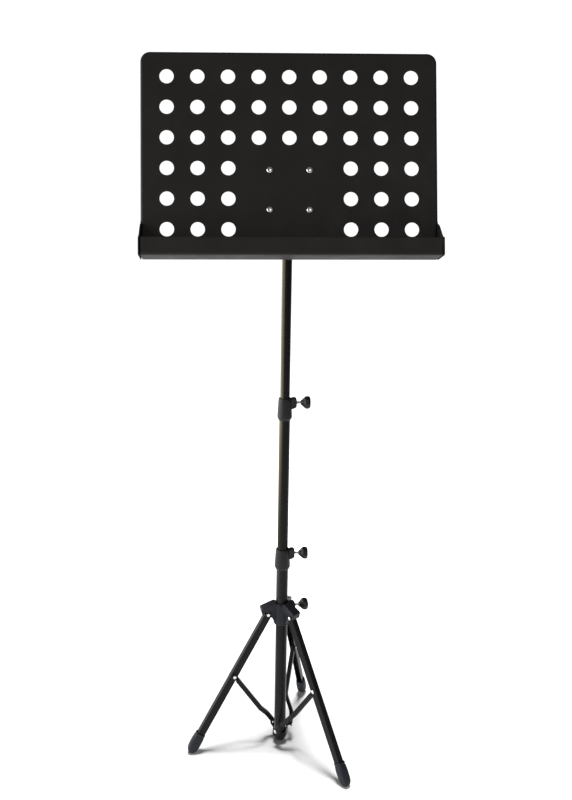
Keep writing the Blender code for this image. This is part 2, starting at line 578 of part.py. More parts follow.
def make_head(upper):
    """Socket over the upper tube, with a flat tab that the desk's bracket straddles."""
    head_axis = empty("head_axis", (0, 0, TILT_PIVOT_Z), upper)
    bore, top = UPPER_R + GAP, -SOCKET_DROP
    outline = [
        (bore, top - SOCKET_LENGTH), (SOCKET_R - 1 * MM, top - SOCKET_LENGTH),
        (SOCKET_R, top - SOCKET_LENGTH + 1 * MM),
        (SOCKET_R, top - 1.5 * MM), (SOCKET_R - 1.5 * MM, top), (0.0, top), (0.0, top - 2.4 * MM),
        (bore, top - 2.4 * MM),
    ]
    head = place("tilt_head", socket_mesh(outline), HUB_PLASTIC, head_axis)
    half = HEAD_TAB_R - 1.5 * MM
    tab = [(-half, top - 2.0 * MM), (half, top - 2.0 * MM), *arc((0.0, 0.0), HEAD_TAB_R, 0.0, 180.0, 14)]
    solid = prism("head_tab", tab, -HEAD_TAB_HALF, HEAD_TAB_HALF, "X")
    boolean(head, helper("head_tab", solid, head_axis), "UNION")
    hole = rod("head_hole", BOLT_R + GAP, -HEAD_TAB_HALF - 2 * MM, HEAD_TAB_HALF + 2 * MM, SIDES_SMALL, "X")
    boolean(head, helper("head_hole", hole, head_axis), "DIFFERENCE")
    inner = BOLT_R + GAP
    outline = [(inner, 0.0), (WASHER_R, 0.0), (WASHER_R, WASHER_H), (inner, WASHER_H)]
    washer = turned("tilt_washer", outline, SIDES_MIDDLE, "X")
    place("tilt_washer_left", washer, NYLON, head_axis, (-HEAD_TAB_HALF - GAP - WASHER_H, 0, 0))
    place("tilt_washer_right", washer, NYLON, head_axis, (HEAD_TAB_HALF + GAP, 0, 0))
    return head_axis


def socket_mesh(outline):
    """A blind socket, spun from its bore's top on the axis, round by the mouth, to its own top."""
    bm = bmesh.new()
    order = outline[-2:] + outline[:-2]
    verts = [bm.verts.new((radius, 0.0, height)) for radius, height in order]
    edges = [bm.edges.new(pair) for pair in zip(verts, verts[1:])]
    spin_about_z(bm, verts + edges, SIDES_LARGE)
    return mesh_from(bm, "tilt_head")


def desk_front_outline(inset):
    """The desk seen from the front, with round upper corners."""
    half, top, radius = DESK_HALF - inset, DESK_TOP - inset, DESK_CORNER_R - inset
    right = arc((half - radius, top - radius), radius, 0.0, 90.0, 6)
    left = arc((-half + radius, top - radius), radius, 90.0, 180.0, 6)
    low = DESK_BOTTOM + BEND_R if inset == 0.0 else DESK_BOTTOM - 20 * MM
    return [(half, low), *right, *left, (-half, low)]


def shelf_outline():
    """Side view of the sheet below the holes: down the desk, forward as the shelf and up as the lip."""
    out, bend = -SHELF_DEPTH, BEND_R
    outer = [(SHEET, DESK_BOTTOM + 3 * bend)]
    outer += arc((SHEET - bend, DESK_BOTTOM + bend), bend, 0.0, -90.0, 4)
    outer += arc((out + bend, DESK_BOTTOM + bend), bend, -90.0, -180.0, 4)
    lip_top = DESK_BOTTOM + LIP_HEIGHT
    hem = out + 2.2 * SHEET
    outer += [(out, lip_top), (hem, lip_top), (hem, lip_top - 4 * MM), (out + SHEET, lip_top - 5 * MM)]
    inner_r = bend - SHEET
    inner = arc((out + bend, DESK_BOTTOM + bend), inner_r, 180.0, 270.0, 4)
    inner += arc((SHEET - bend, DESK_BOTTOM + bend), inner_r, 270.0, 360.0, 4)
    return outer + inner + [(0.0, DESK_BOTTOM + 3 * bend)]


def cheek_outline():
    """End wall of the shelf: its upper edge falls from the desk to the lip in an S."""
    lip_top = DESK_BOTTOM + LIP_HEIGHT
    steps, out, root = 8, -SHELF_DEPTH + 0.4 * SHEET, 0.3 * SHEET
    curve = []
    for i in range(steps + 1):
        share = i / steps
        drop = 0.5 - 0.5 * math.cos(math.pi * share)
        curve.append((root + (out - root) * share, CHEEK_TOP + (lip_top - CHEEK_TOP) * drop))
    low, bend = DESK_BOTTOM + 0.4 * SHEET, DESK_BOTTOM + BEND_R
    return [*curve, (out, bend), (out + 0.9 * BEND_R, low), (-0.8 * BEND_R, low), (root, bend)]


def hole_spots():
    """The desk's holes: every place of the grid but the middle of its lower half, which the bracket backs."""
    spots = []
    for row in range(HOLE_ROWS):
        for column in range(HOLE_COLUMNS):
            if row < HOLE_ROWS // 2 or abs(column - HOLE_COLUMNS // 2) > 1:
                x = (column - (HOLE_COLUMNS - 1) / 2) * HOLE_PITCH
                z = ((HOLE_ROWS - 1) / 2 - row) * HOLE_PITCH
                spots.append((x, z, HOLE_R, HOLE_SIDES))
    return spots


def hole_cutters(name, spots):
    """Rods along Y, one for each (x, z, radius, sides), as one helper mesh."""
    bm = bmesh.new()
    for x, z, radius, sides in spots:
        spot = Matrix.Translation((x, 0, z)) @ Matrix.Rotation(math.pi / 2, 4, "X")
        bmesh.ops.create_cone(
            bm, cap_ends=True, segments=sides, radius1=radius, radius2=radius, depth=12 * MM, matrix=spot
        )
    return mesh_from(bm, name)


def rivet_hole_spots():
    return [
        (x * RIVET_HALF_PITCH, RIVET_MIDDLE + z * RIVET_HALF_PITCH, PIN_HOLE_R, SIDES_PIN)
        for z in (1, -1)
        for x in (-1, 1)
    ]


def make_desk(head_axis):
    """Everything that tilts. The desk's own plane hangs from an empty on the tilt pivot."""
    tilt = empty("tilt_axis", (0, 0, 0), head_axis, (-TILT_BACK, 0, 0))
    desk = empty("desk_plane", (0, -PLATE_FROM_PIVOT, -RIVET_MIDDLE), tilt)
    solid = prism("desk_plate", desk_front_outline(0.0), 0.0, EDGE_ROLL, "Y")
    plate = place("desk_plate", solid, BLACK_STEEL, desk)
    hollow = prism("desk_hollow", desk_front_outline(SHEET), SHEET, EDGE_ROLL + 5 * MM, "Y")
    boolean(plate, helper("desk_hollow", hollow, desk), "DIFFERENCE")
    shelf = prism("desk_shelf", shelf_outline(), -DESK_HALF, DESK_HALF, "X")
    boolean(plate, helper("desk_shelf", shelf, desk), "UNION")
    for side in (-1, 1):
        low, high = sorted((side * DESK_HALF * 0.99999, side * (DESK_HALF - SHEET)))
        cheek = prism("desk_cheek", cheek_outline(), low, high, "X")
        boolean(plate, helper(f"desk_cheek_{side}", cheek, desk), "UNION")
    holes = hole_cutters("desk_holes", hole_spots() + rivet_hole_spots())
    boolean(plate, helper("desk_holes", holes, desk), "DIFFERENCE")

    grip = SHEET + BRACKET_WALL + 2 * GAP
    stud = rivet("desk_rivet", -GAP, grip, RIVET_HEAD_R, PIN_HEAD_R)
    names = ("top_left", "top_right", "bottom_left", "bottom_right")
    for name, (x, z, _, _) in zip(names, rivet_hole_spots()):
        place("desk_rivet_" + name, stud, ZINC, desk, (x, 0, z))
    make_bracket(desk)
    make_tilt_bolt(tilt)


def make_bracket(desk):
    """Plate riveted behind the desk, with two ears that reach back to the tilt pivot."""
    front, back = SHEET + GAP, SHEET + GAP + BRACKET_WALL
    base = block(
        "desk_bracket",
        (-BRACKET_HALF, front, RIVET_MIDDLE - BRACKET_HALF),
        (BRACKET_HALF, back, RIVET_MIDDLE + BRACKET_HALF),
    )
    bracket = place("desk_bracket", base, BLACK_STEEL, desk)
    end = PLATE_FROM_PIVOT
    ear = [
        (front + 0.4 * MM, RIVET_MIDDLE - EAR_ROOT_HALF),
        *arc((end, RIVET_MIDDLE), HEAD_TAB_R, -75.0, 75.0, 10),
        (front + 0.4 * MM, RIVET_MIDDLE + EAR_ROOT_HALF),
    ]
    for side in (-1, 1):
        low, high = sorted((side * EAR_INNER, side * (EAR_INNER + EAR_WALL)))
        solid = prism("bracket_ear", ear, low, high, "X")
        boolean(bracket, helper(f"bracket_ear_{side}", solid, desk), "UNION")
    hole = rod("bracket_hole", BOLT_R + GAP, -EAR_INNER - 8 * MM, EAR_INNER + 8 * MM, SIDES_SMALL, "X")
    boolean(bracket, helper("bracket_hole", hole, desk, (0, end, RIVET_MIDDLE)), "DIFFERENCE")
    rivet_holes = hole_cutters("bracket_rivet_holes", rivet_hole_spots())
    boolean(bracket, helper("bracket_rivet_holes", rivet_holes, desk), "DIFFERENCE")


def make_tilt_bolt(tilt):
    """Hex bolt through the ears, with its knob on +X."""
    outside = EAR_INNER + EAR_WALL + GAP
    knob_start = outside + 1.0 * MM
    tip = knob_start + KNOB_SOCKET
    head = -outside - BOLT_HEAD_H
    outline = [
        (0.0, head), (BOLT_HEAD_R, head), (BOLT_HEAD_R, -outside),
        (BOLT_R, -outside), (BOLT_R, tip), (0.0, tip),
    ]
    place("tilt_bolt", turned("tilt_bolt", outline, SIDES_HEX, "X"), ZINC, tilt)
    place_knob("tilt_knob", empty("tilt_knob_axis", (0, 0, 0), tilt), knob_start, BOLT_R + GAP)


def main():
    clear_scene()
    root = empty("stand", (0, POLE_Y, 0))
    upper = make_pole(root)
    make_hub(root)
    leg_pieces, brace_pieces = leg_mesh_pieces(), brace_mesh_pieces()
    for side, azimuth in LEG_AZIMUTHS.items():
        make_leg(side, azimuth, root, leg_pieces)
        make_brace(side, azimuth, root, brace_pieces)
    make_base_bracket(root)
    make_desk(make_head(upper))


main()
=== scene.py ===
"""Looks of the folding music stand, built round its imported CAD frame.

Metres, +Z up, the desk faces -Y. Each piece is drawn finely in the row frame, replaces its CAD node and rides
on that node's body.
"""

import json
import math

import bmesh
import bpy
from mathutils import Matrix, Vector
from mathutils.geometry import delaunay_2d_cdt

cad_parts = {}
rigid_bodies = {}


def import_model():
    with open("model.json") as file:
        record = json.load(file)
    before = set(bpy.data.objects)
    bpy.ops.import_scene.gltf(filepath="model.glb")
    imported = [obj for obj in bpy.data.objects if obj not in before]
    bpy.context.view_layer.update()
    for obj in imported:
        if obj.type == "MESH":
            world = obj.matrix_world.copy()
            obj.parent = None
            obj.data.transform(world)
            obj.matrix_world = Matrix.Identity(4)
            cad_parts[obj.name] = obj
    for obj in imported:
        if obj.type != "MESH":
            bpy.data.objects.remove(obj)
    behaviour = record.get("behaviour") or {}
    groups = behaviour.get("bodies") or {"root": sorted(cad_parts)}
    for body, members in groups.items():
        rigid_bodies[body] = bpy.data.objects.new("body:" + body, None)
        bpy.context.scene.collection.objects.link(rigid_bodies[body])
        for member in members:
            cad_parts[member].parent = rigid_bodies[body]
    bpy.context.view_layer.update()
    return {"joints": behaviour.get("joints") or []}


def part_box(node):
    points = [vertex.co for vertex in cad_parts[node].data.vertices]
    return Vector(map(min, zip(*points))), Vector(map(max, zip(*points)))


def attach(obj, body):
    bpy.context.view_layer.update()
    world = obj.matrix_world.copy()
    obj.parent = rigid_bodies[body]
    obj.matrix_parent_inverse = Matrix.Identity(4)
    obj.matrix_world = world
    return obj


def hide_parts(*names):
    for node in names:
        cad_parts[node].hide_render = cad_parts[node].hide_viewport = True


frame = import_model()

MM = 0.001
JOINTS = {joint["name"]: joint for joint in frame["joints"]}
SIDES = ("left", "front", "back")

# Pole
POLE_X, POLE_Y, _ = JOINTS["desk_swivel"]["pos_m"]
POLE = Matrix.Translation((POLE_X, POLE_Y, 0.0))
TUBE_WALL = 1.0 * MM
ROUND_SIDES = 96

# Clamps, along their own +X from the pole's axis
SCREW_R, SCREW_HOLE_R, THREAD_PITCH, THREAD_DEPTH = 2.5 * MM, 3.1 * MM, 0.9 * MM, 0.36 * MM
INSERT_R, INSERT_LENGTH, INSERT_BORE = 4.2 * MM, 7.0 * MM, 2.8 * MM
POCKET_R = 4.5 * MM
KNOB_R, KNOB_LENGTH, KNOB_LOBES, KNOB_BORE, KNOB_SOCKET = 11.8 * MM, 17.0 * MM, 8, 2.9 * MM, 9.6 * MM
BOSS_REACH, HUB_BOSS_REACH = 11.2 * MM, 14.6 * MM
SHANK_SHOWN = 7.4 * MM

# Tripod
HUB_ARM_R, HUB_ARM_Z = 27.0 * MM, JOINTS["leg_left_hinge"]["pos_m"][2]
LEG_WIDTH, LEG_DEPTH, LEG_WALL = 12.0 * MM, 13.8 * MM, 1.2 * MM
LEG_END = 8.6 * MM
FOOT_R, FOOT_Z = 176.5 * MM, 8.385 * MM
BRACE_WIDTH, BRACE_DEPTH, BRACE_WALL = 8.0 * MM, 8.6 * MM, 1.0 * MM
BRACE_SHARE, BRACE_PIN_INSET = 0.45, 2.2 * MM
BRACE_OFFSET, BRACE_BEND, BRACE_SLOT = -18.3 * MM, (22.0 * MM, 54.0 * MM), 9.5 * MM
BRACE_BASE_R, BRACE_BASE_Z = 10.0 * MM, JOINTS["brace_left_hinge"]["pos_m"][2]
PIN_R, PIN_HEAD_R, PIN_HEAD_H, PIN_HOLE_R = 2.0 * MM, 3.5 * MM, 1.6 * MM, 2.3 * MM
TAB_INNER, TAB_WALL = 12.0 * MM, 2.0 * MM
BOOT_LENGTH = 38.0 * MM

# Desk, in its own plane: x across, y behind the front face, z up from the middle of the hole pattern
TILT_BACK = math.radians(17.0)
TILT_SPOT = Vector(JOINTS["desk_tilt"]["pos_m"])
PLATE_FROM_PIVOT, RIVET_MIDDLE, RIVET_HALF_PITCH = 36.0 * MM, -60.2 * MM, 32.6 * MM
DESK_HALF, DESK_TOP, DESK_BOTTOM = 243.0 * MM, 166.0 * MM, -175.0 * MM
DESK_CORNER_R, SHEET, EDGE_ROLL, EDGE_BEND = 16.0 * MM, 1.0 * MM, 8.0 * MM, 4.2 * MM
SHELF_DEPTH, LIP_HEIGHT, BEND_R, HEM = 45.0 * MM, 28.8 * MM, 4.0 * MM, 2.2 * MM
CHEEK_TOP, CHEEK_WALL = -116.0 * MM, 2.0 * MM
HOLE_PITCH, HOLE_R, HOLE_SIDES, HOLE_EDGE = 50.0 * MM, 11.7 * MM, 64, 0.22 * MM
HOLE_COLUMNS, HOLE_ROWS = 9, 6
BRACKET_HALF, BRACKET_WALL, EAR_WALL, EAR_ROOT_HALF = 43.0 * MM, 1.6 * MM, 2.5 * MM, 25.0 * MM
HEAD_TAB_HALF, HEAD_TAB_R, WASHER_H, GAP = 7.0 * MM, 10.5 * MM, 1.2 * MM, 0.3 * MM
BOLT_R, BOLT_HEAD_R, BOLT_HEAD_H = 3.0 * MM, 5.4 * MM, 4.0 * MM
EAR_INNER = HEAD_TAB_HALF + WASHER_H + 2 * GAP

TILT = Matrix.Translation(TILT_SPOT) @ Matrix.Rotation(-TILT_BACK, 4, "X")
DESK = TILT @ Matrix.Translation((0.0, -PLATE_FROM_PIVOT, -RIVET_MIDDLE))


# ---------------------------------------------------------------- materials


def new_material(name):
    made = bpy.data.materials.new(name)
    made.use_nodes = True
    return made, made.node_tree.nodes, made.node_tree.links, made.node_tree.nodes["Principled BSDF"]


def noise(nodes, links, scale, detail, stretch=(1.0, 1.0, 1.0), roughness=0.55):
    """Noise in the piece's own coordinates, at so many features per metre."""
    coords = nodes.new("ShaderNodeTexCoord")
    mapping = nodes.new("ShaderNodeMapping")
    mapping.inputs["Scale"].default_value = stretch
    made = nodes.new("ShaderNodeTexNoise")
    made.inputs["Scale"].default_value = scale
    made.inputs["Detail"].default_value = detail
    made.inputs["Roughness"].default_value = roughness
    links.new(coords.outputs["Object"], mapping.inputs["Vector"])
    links.new(mapping.outputs["Vector"], made.inputs["Vector"])
    return made.outputs["Fac"]


def ramp(nodes, links, factor, stops):
    made = nodes.new("ShaderNodeValToRGB")
    elements = made.color_ramp.elements
    while len(elements) < len(stops):
        elements.new(0.5)
    for element, (position, colour) in zip(elements, stops):
        element.position = position
        element.color = (*colour, 1.0)
    links.new(factor, made.inputs["Fac"])
    return made.outputs["Color"]


def spread(nodes, links, factor, low, high):
    made = nodes.new("ShaderNodeMapRange")
    made.inputs["From Min"].default_value = 0.3
    made.inputs["From Max"].default_value = 0.7
    made.inputs["To Min"].default_value = low
    made.inputs["To Max"].default_value = high
    links.new(factor, made.inputs["Value"])
    return made.outputs["Result"]


def bump(nodes, links, layers, shader):
    """Bumps from (height, strength, distance), one on another."""
    normal = None
    for height, strength, distance in layers:
        made = nodes.new("ShaderNodeBump")
        made.inputs["Strength"].default_value = strength
        made.inputs["Distance"].default_value = distance
        links.new(height, made.inputs["Height"])
        if normal:
            links.new(normal, made.inputs["Normal"])
        normal = made.outputs["Normal"]
    links.new(normal, shader.inputs["Normal"])


def finish_of(name, dark, light, rough, grain, metallic=0.0, specular=0.5, cloud=14.0,
              cloud_stretch=(1.0, 1.0, 1.0), scuff=None, scratch=None):
    """A finish whose colour and roughness drift in clouds, with a fine grain.

    rough is (lowest, highest) and grain is (features per metre, strength, height). scuff is paler rubbed
    spots: (colour, features per metre, threshold). scratch is fine lines: (features per metre, stretch,
    strength).
    """
    made, nodes, links, shader = new_material(name)
    clouds = noise(nodes, links, cloud, 4.0, cloud_stretch)
    colour = ramp(nodes, links, clouds, [(0.32, dark), (0.68, light)])
    if scuff:
        scuff_colour, scuff_scale, threshold = scuff
        rubbed = noise(nodes, links, scuff_scale, 9.0, roughness=0.72)
        mask = ramp(nodes, links, rubbed, [(threshold, (0.0,) * 3), (threshold + 0.09, (1.0,) * 3)])
        mix = nodes.new("ShaderNodeMix")
        mix.data_type = "RGBA"
        links.new(mask, mix.inputs["Factor"])
        links.new(colour, mix.inputs["A"])
        mix.inputs["B"].default_value = (*scuff_colour, 1.0)
        colour = mix.outputs["Result"]
    links.new(colour, shader.inputs["Base Color"])
    uneven = noise(nodes, links, cloud * 3.7, 5.0, cloud_stretch)
    links.new(spread(nodes, links, uneven, *rough), shader.inputs["Roughness"])
    shader.inputs["Metallic"].default_value = metallic
    shader.inputs["Specular IOR Level"].default_value = specular
    grain_scale, grain_strength, grain_height = grain
    layers = [(noise(nodes, links, grain_scale, 3.0), grain_strength, grain_height)]
    if scratch:
        scratch_scale, stretch, strength = scratch
        layers.append((noise(nodes, links, scratch_scale, 2.0, stretch), strength, 0.00004))
    bump(nodes, links, layers, shader)
    return made


POWDER_COAT = finish_of(
    "powder_coat", (0.0110, 0.0094, 0.0086), (0.0165, 0.0142, 0.0130), (0.46, 0.58), (1400.0, 0.30, 0.00008),
    specular=0.22, cloud=9.0, scuff=((0.030, 0.027, 0.025), 160.0, 0.66),
)
CHANNEL_PAINT = finish_of(
    "channel_paint", (0.0050, 0.0049, 0.0055), (0.0085, 0.0082, 0.0092), (0.28, 0.40),
    (1200.0, 0.20, 0.00006),
    specular=0.13, cloud=22.0, scuff=((0.040, 0.041, 0.044), 210.0, 0.67),
)
GLOSS_TUBE = finish_of(
    "tube_enamel", (0.0035, 0.0034, 0.0032), (0.0058, 0.0056, 0.0052), (0.17, 0.25), (420.0, 0.06, 0.00003),
    specular=0.12, cloud=16.0, cloud_stretch=(1.0, 1.0, 0.3),
    scratch=(700.0, (1.0, 1.0, 0.02), 0.10),
)
COLLAR_PLASTIC = finish_of(
    "collar_plastic", (0.0110, 0.0112, 0.0118), (0.0170, 0.0172, 0.0180), (0.36, 0.47),
    (1900.0, 0.35, 0.00005),
    specular=0.2, cloud=40.0, scuff=((0.045, 0.046, 0.048), 260.0, 0.68),
)
HUB_PLASTIC = finish_of(
    "hub_plastic", (0.0105, 0.0110, 0.0145), (0.0165, 0.0175, 0.0220), (0.34, 0.45), (1900.0, 0.35, 0.00005),
    specular=0.18, cloud=40.0, scuff=((0.042, 0.044, 0.050), 240.0, 0.67),
)
RUBBER = finish_of(
    "boot_rubber", (0.0100, 0.0120, 0.0165), (0.0180, 0.0210, 0.0270), (0.52, 0.68), (1600.0, 0.45, 0.00010),
    specular=0.2, cloud=60.0, scuff=((0.060, 0.063, 0.068), 300.0, 0.65),
)
KNOB_PLASTIC = finish_of(
    "knob_plastic", (0.0085, 0.0080, 0.0090), (0.0130, 0.0120, 0.0135), (0.28, 0.38),
    (2200.0, 0.30, 0.00005),
    specular=0.25, cloud=70.0, scuff=((0.045, 0.042, 0.044), 380.0, 0.66),
)
ZINC = finish_of(
    "bright_zinc", (0.66, 0.66, 0.64), (0.82, 0.81, 0.77), (0.16, 0.34), (2600.0, 0.25, 0.00004),
    metallic=1.0, cloud=240.0, scratch=(1500.0, (1.0, 0.2, 1.0), 0.2),
)
BRASS = finish_of(
    "turned_brass", (0.52, 0.41, 0.22), (0.74, 0.62, 0.38), (0.22, 0.38), (2400.0, 0.22, 0.00004),
    metallic=1.0, cloud=300.0,
)
NYLON = finish_of(
    "moulded_nylon", (0.040, 0.040, 0.039), (0.062, 0.061, 0.059), (0.42, 0.55), (1700.0, 0.30, 0.00005),
    specular=0.45, cloud=90.0,
)


# ---------------------------------------------------------------- shapes
# A shape is (points, faces). Each is closed, and its faces are turned outward when it becomes a piece.


def joined(*shapes):
    points, faces = [], []
    for shape_points, shape_faces in shapes:
        first = len(points)
        points += shape_points
        faces += [[first + index for index in face] for face in shape_faces]
    return points, faces


def at(matrix, shape):
    return [matrix @ Vector(point) for point in shape[0]], shape[1]


def arc(middle, radius, start, end, steps):
    """Points round an arc, in degrees, both ends included."""
    turns = [math.radians(start + (end - start) * i / steps) for i in range(steps + 1)]
    return [(middle[0] + radius * math.cos(turn), middle[1] + radius * math.sin(turn)) for turn in turns]


def filleted(outline, radius, steps=4, closed=True):
    """The outline with its corners rounded. A corner with little room gets a smaller radius."""
    points = [Vector(point) for point in outline]
    count, made = len(points), []
    for i, point in enumerate(points):
        if not closed and i in (0, count - 1):
            made.append(tuple(point))
            continue
        before, after = points[i - 1] - point, points[(i + 1) % count] - point
        half_turn = before.angle(after, math.pi) / 2
        if half_turn > math.radians(86.0):
            made.append(tuple(point))
            continue
        reach = min(radius / math.tan(half_turn), 0.45 * before.length, 0.45 * after.length)
        start, end = point + before.normalized() * reach, point + after.normalized() * reach
        for k in range(steps + 1):
            share = k / steps
            spot = start.lerp(point, share).lerp(point.lerp(end, share), share)
            made.append(tuple(spot))
    return made


def lathe(outline, sides=ROUND_SIDES):
    """(radius, height) points turned about Z. An outline starts and ends on the axis, or is a closed ring."""
    points, rings = [], []
    for radius, height in outline:
        if radius < 1e-7:
            rings.append([len(points)] * sides)
            points.append((0.0, 0.0, height))
            continue
        rings.append(list(range(len(points), len(points) + sides)))
        for i in range(sides):
            turn = 2 * math.pi * i / sides
            points.append((radius * math.cos(turn), radius * math.sin(turn), height))
    solid = outline[0][0] < 1e-7
    pairs = list(zip(rings, rings[1:])) if solid else list(zip(rings, rings[1:] + rings[:1]))
    faces = []
    for low, high in pairs:
        for i in range(sides):
            j = (i + 1) % sides
            face = list(dict.fromkeys((low[i], low[j], high[j], high[i])))
            if len(face) > 2:
                faces.append(face)
    return points, faces


def lathe_x(outline, sides=ROUND_SIDES):
    """(radius, distance) points turned about +X."""
    return at(Matrix.Rotation(math.pi / 2, 4, "Y"), lathe(outline, sides))


def lathe_y(outline, sides=ROUND_SIDES):
    return at(Matrix.Rotation(-math.pi / 2, 4, "X"), lathe(outline, sides))


def prism(outline, low, high, axis):
    """A flat outline pushed along an axis. Its points are on the other two axes, in the order X, Y, Z."""
    spots = {
        "X": lambda a, b, push: (push, a, b),
        "Y": lambda a, b, push: (a, push, b),
        "Z": lambda a, b, push: (a, b, push),
    }
    count = len(outline)
    points = [spots[axis](a, b, push) for push in (low, high) for a, b in outline]
    faces = [[i, (i + 1) % count, count + (i + 1) % count, count + i] for i in range(count)]
    return points, [list(range(count)), list(range(count, 2 * count)), *faces]


def lofted(rings, start=None, end=None):
    """A skin through rings with the same number of points. Each end is a fan to a point, or one flat face."""
    points = [point for ring in rings for point in ring]
    count, faces = len(rings[0]), []
    for row in range(len(rings) - 1):
        for i in range(count):
            j = (i + 1) % count
            low, high = row * count, (row + 1) * count
            faces.append([low + i, low + j, high + j, high + i])
    for first, spot in ((0, start), ((len(rings) - 1) * count, end)):
        if spot is None:
            faces.append([first + i for i in range(count)])
            continue
        points.append(spot)
        faces += [[first + i, first + (i + 1) % count, len(points) - 1] for i in range(count)]
    return points, faces


def smooth_rows(rows, per_gap):
    """The rows with more rows between them, on a Catmull-Rom curve through the given ones."""
    made = []
    for i in range(len(rows) - 1):
        a, b, c, d = rows[max(i - 1, 0)], rows[i], rows[i + 1], rows[min(i + 2, len(rows) - 1)]
        for k in range(per_gap):
            t = k / per_gap
            made.append(tuple(
                0.5 * (2 * q + (r - p) * t + (2 * p - 5 * q + 4 * r - s) * t**2
                       + (3 * q - p - 3 * r + s) * t**3)
                for p, q, r, s in zip(a, b, c, d)
            ))
    return [*made, rows[-1]]


def round_box_ring(half_x, half_y, height, power, count):
    """A ring between an ellipse (power 1) and a rectangle (power near 0)."""
    ring = []
    for i in range(count):
        turn = 2 * math.pi * (i + 0.5) / count
        across, along = math.cos(turn), math.sin(turn)
        ring.append((
            math.copysign(abs(across) ** power, across) * half_x,
            math.copysign(abs(along) ** power, along) * half_y,
            height,
        ))
    return ring


def ring_x(along, radius, sides):
    """A circle round the X axis."""
    turns = [2 * math.pi * i / sides for i in range(sides)]
    return [(along, radius * math.cos(turn), radius * math.sin(turn)) for turn in turns]


def threaded(radius, start, end, core_start, sides=36, rows_per_turn=7):
    """A screw along +X whose thread runs from start to end, after a plain tip from core_start."""
    rows = int((end - start) / THREAD_PITCH * rows_per_turn)
    core = radius - THREAD_DEPTH
    rings = [ring_x(core_start, 0.7 * radius, sides), ring_x(core_start + 0.5 * MM, core, sides)]
    for row in range(rows + 1):
        along = start + (end - start) * row / rows
        ring = []
        for i in range(sides):
            phase = (along / THREAD_PITCH - i / sides) % 1.0
            flank = abs(2 * phase - 1)
            r = radius - THREAD_DEPTH * min(1.0, 1.25 * flank)
            turn = 2 * math.pi * i / sides
            ring.append((along, r * math.cos(turn), r * math.sin(turn)))
        rings.append(ring)
    return lofted(rings, (core_start, 0.0, 0.0), (end, 0.0, 0.0))


# ---------------------------------------------------------------- pieces


MOULDED = {"sharp": 50.0, "weighted": False}  # shading of a moulded piece


def mesh_object(name, shape):
    bm = bmesh.new()
    verts = [bm.verts.new(point) for point in shape[0]]
    for face in shape[1]:
        bm.faces.new([verts[index] for index in face])
    bmesh.ops.recalc_face_normals(bm, faces=bm.faces)
    if bm.calc_volume(signed=True) < 0:
        bmesh.ops.reverse_faces(bm, faces=bm.faces)
    mesh = bpy.data.meshes.new(name)
    bm.to_mesh(mesh)
    bm.free()
    made = bpy.data.objects.new(name, mesh)
    bpy.context.scene.collection.objects.link(made)
    return made


def settle(obj):
    """Makes the modifiers' result the object's own mesh."""
    bpy.context.view_layer.update()
    graph = bpy.context.evaluated_depsgraph_get()
    mesh = bpy.data.meshes.new_from_object(obj.evaluated_get(graph))
    obj.modifiers.clear()
    obj.data = mesh


def combine(obj, shapes, operation):
    others = []
    for index, shape in enumerate(shapes):
        other = mesh_object(f"{obj.name}_tool_{index}", shape)
        modifier = obj.modifiers.new(other.name, "BOOLEAN")
        modifier.object = other
        modifier.operation = operation
        modifier.solver = "EXACT"
        others.append(other)
    settle(obj)
    for other in others:
        bpy.data.objects.remove(other, do_unlink=True)


def taken_shape(obj):
    """The object's shape. The object itself is removed."""
    points = [vert.co.copy() for vert in obj.data.vertices]
    faces = [list(face.vertices) for face in obj.data.polygons]
    bpy.data.objects.remove(obj, do_unlink=True)
    return points, faces


def cut(obj, *shapes):
    combine(obj, shapes, "DIFFERENCE")


def unite(obj, *shapes):
    combine(obj, shapes, "UNION")


def bevel(obj, width, segments=2, angle=40.0):
    modifier = obj.modifiers.new("edge", "BEVEL")
    modifier.width = width
    modifier.segments = segments
    modifier.limit_method = "ANGLE"
    modifier.angle_limit = math.radians(angle)
    settle(obj)


def moulded(obj, voxel, smoothing):
    """Fuses overlapping shapes into one skin with small fillets, as a mould leaves it."""
    remesh = obj.modifiers.new("fuse", "REMESH")
    remesh.mode = "VOXEL"
    remesh.voxel_size = voxel
    smooth = obj.modifiers.new("soften", "SMOOTH")
    smooth.factor = 0.5
    smooth.iterations = smoothing
    settle(obj)


def piece(obj, body, node, finish, sharp=38.0, weighted=True):
    """Finishes a piece: shading, material, body, and the CAD node that it stands for."""
    obj.data.materials.clear()
    obj.data.materials.append(finish)
    obj.data.shade_smooth()
    if sharp:
        obj.data.set_sharp_from_angle(angle=math.radians(sharp))
    if weighted:
        modifier = obj.modifiers.new("normals", "WEIGHTED_NORMAL")
        modifier.keep_sharp = True
        modifier.weight = 80
        settle(obj)
    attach(obj, body)
    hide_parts(node)
    return obj


def add(node, body, finish, shape, **shading):
    """A piece made from a shape alone."""
    return piece(mesh_object(node + "_fine", shape), body, node, finish, **shading)


def span(node):
    """Lowest and highest height of a CAD node."""
    low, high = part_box(node)
    return low.z, high.z


def radius_of(node):
    low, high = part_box(node)
    return (high.x - low.x) / 2


def rod_x(radius, start, end, sides=48):
    return lathe_x([(0.0, start), (radius, start), (radius, end), (0.0, end)], sides)


def rod_y(radius, start, end, sides=48):
    return lathe_y([(0.0, start), (radius, start), (radius, end), (0.0, end)], sides)


# ---------------------------------------------------------------- pole


def make_tube(node, body, screw_height):
    low, high = span(node)
    radius = radius_of(node)
    inner = radius - TUBE_WALL
    ring = filleted([(inner, low), (radius, low), (radius, high), (inner, high)], 0.3 * MM)
    made = mesh_object(node + "_fine", at(POLE, lathe(ring)))
    if screw_height:
        hole = rod_x(SCREW_HOLE_R, radius - 4 * MM, radius + 4 * MM)
        cut(made, at(POLE @ Matrix.Translation((0, 0, screw_height)), hole))
    piece(made, body, node, GLOSS_TUBE)


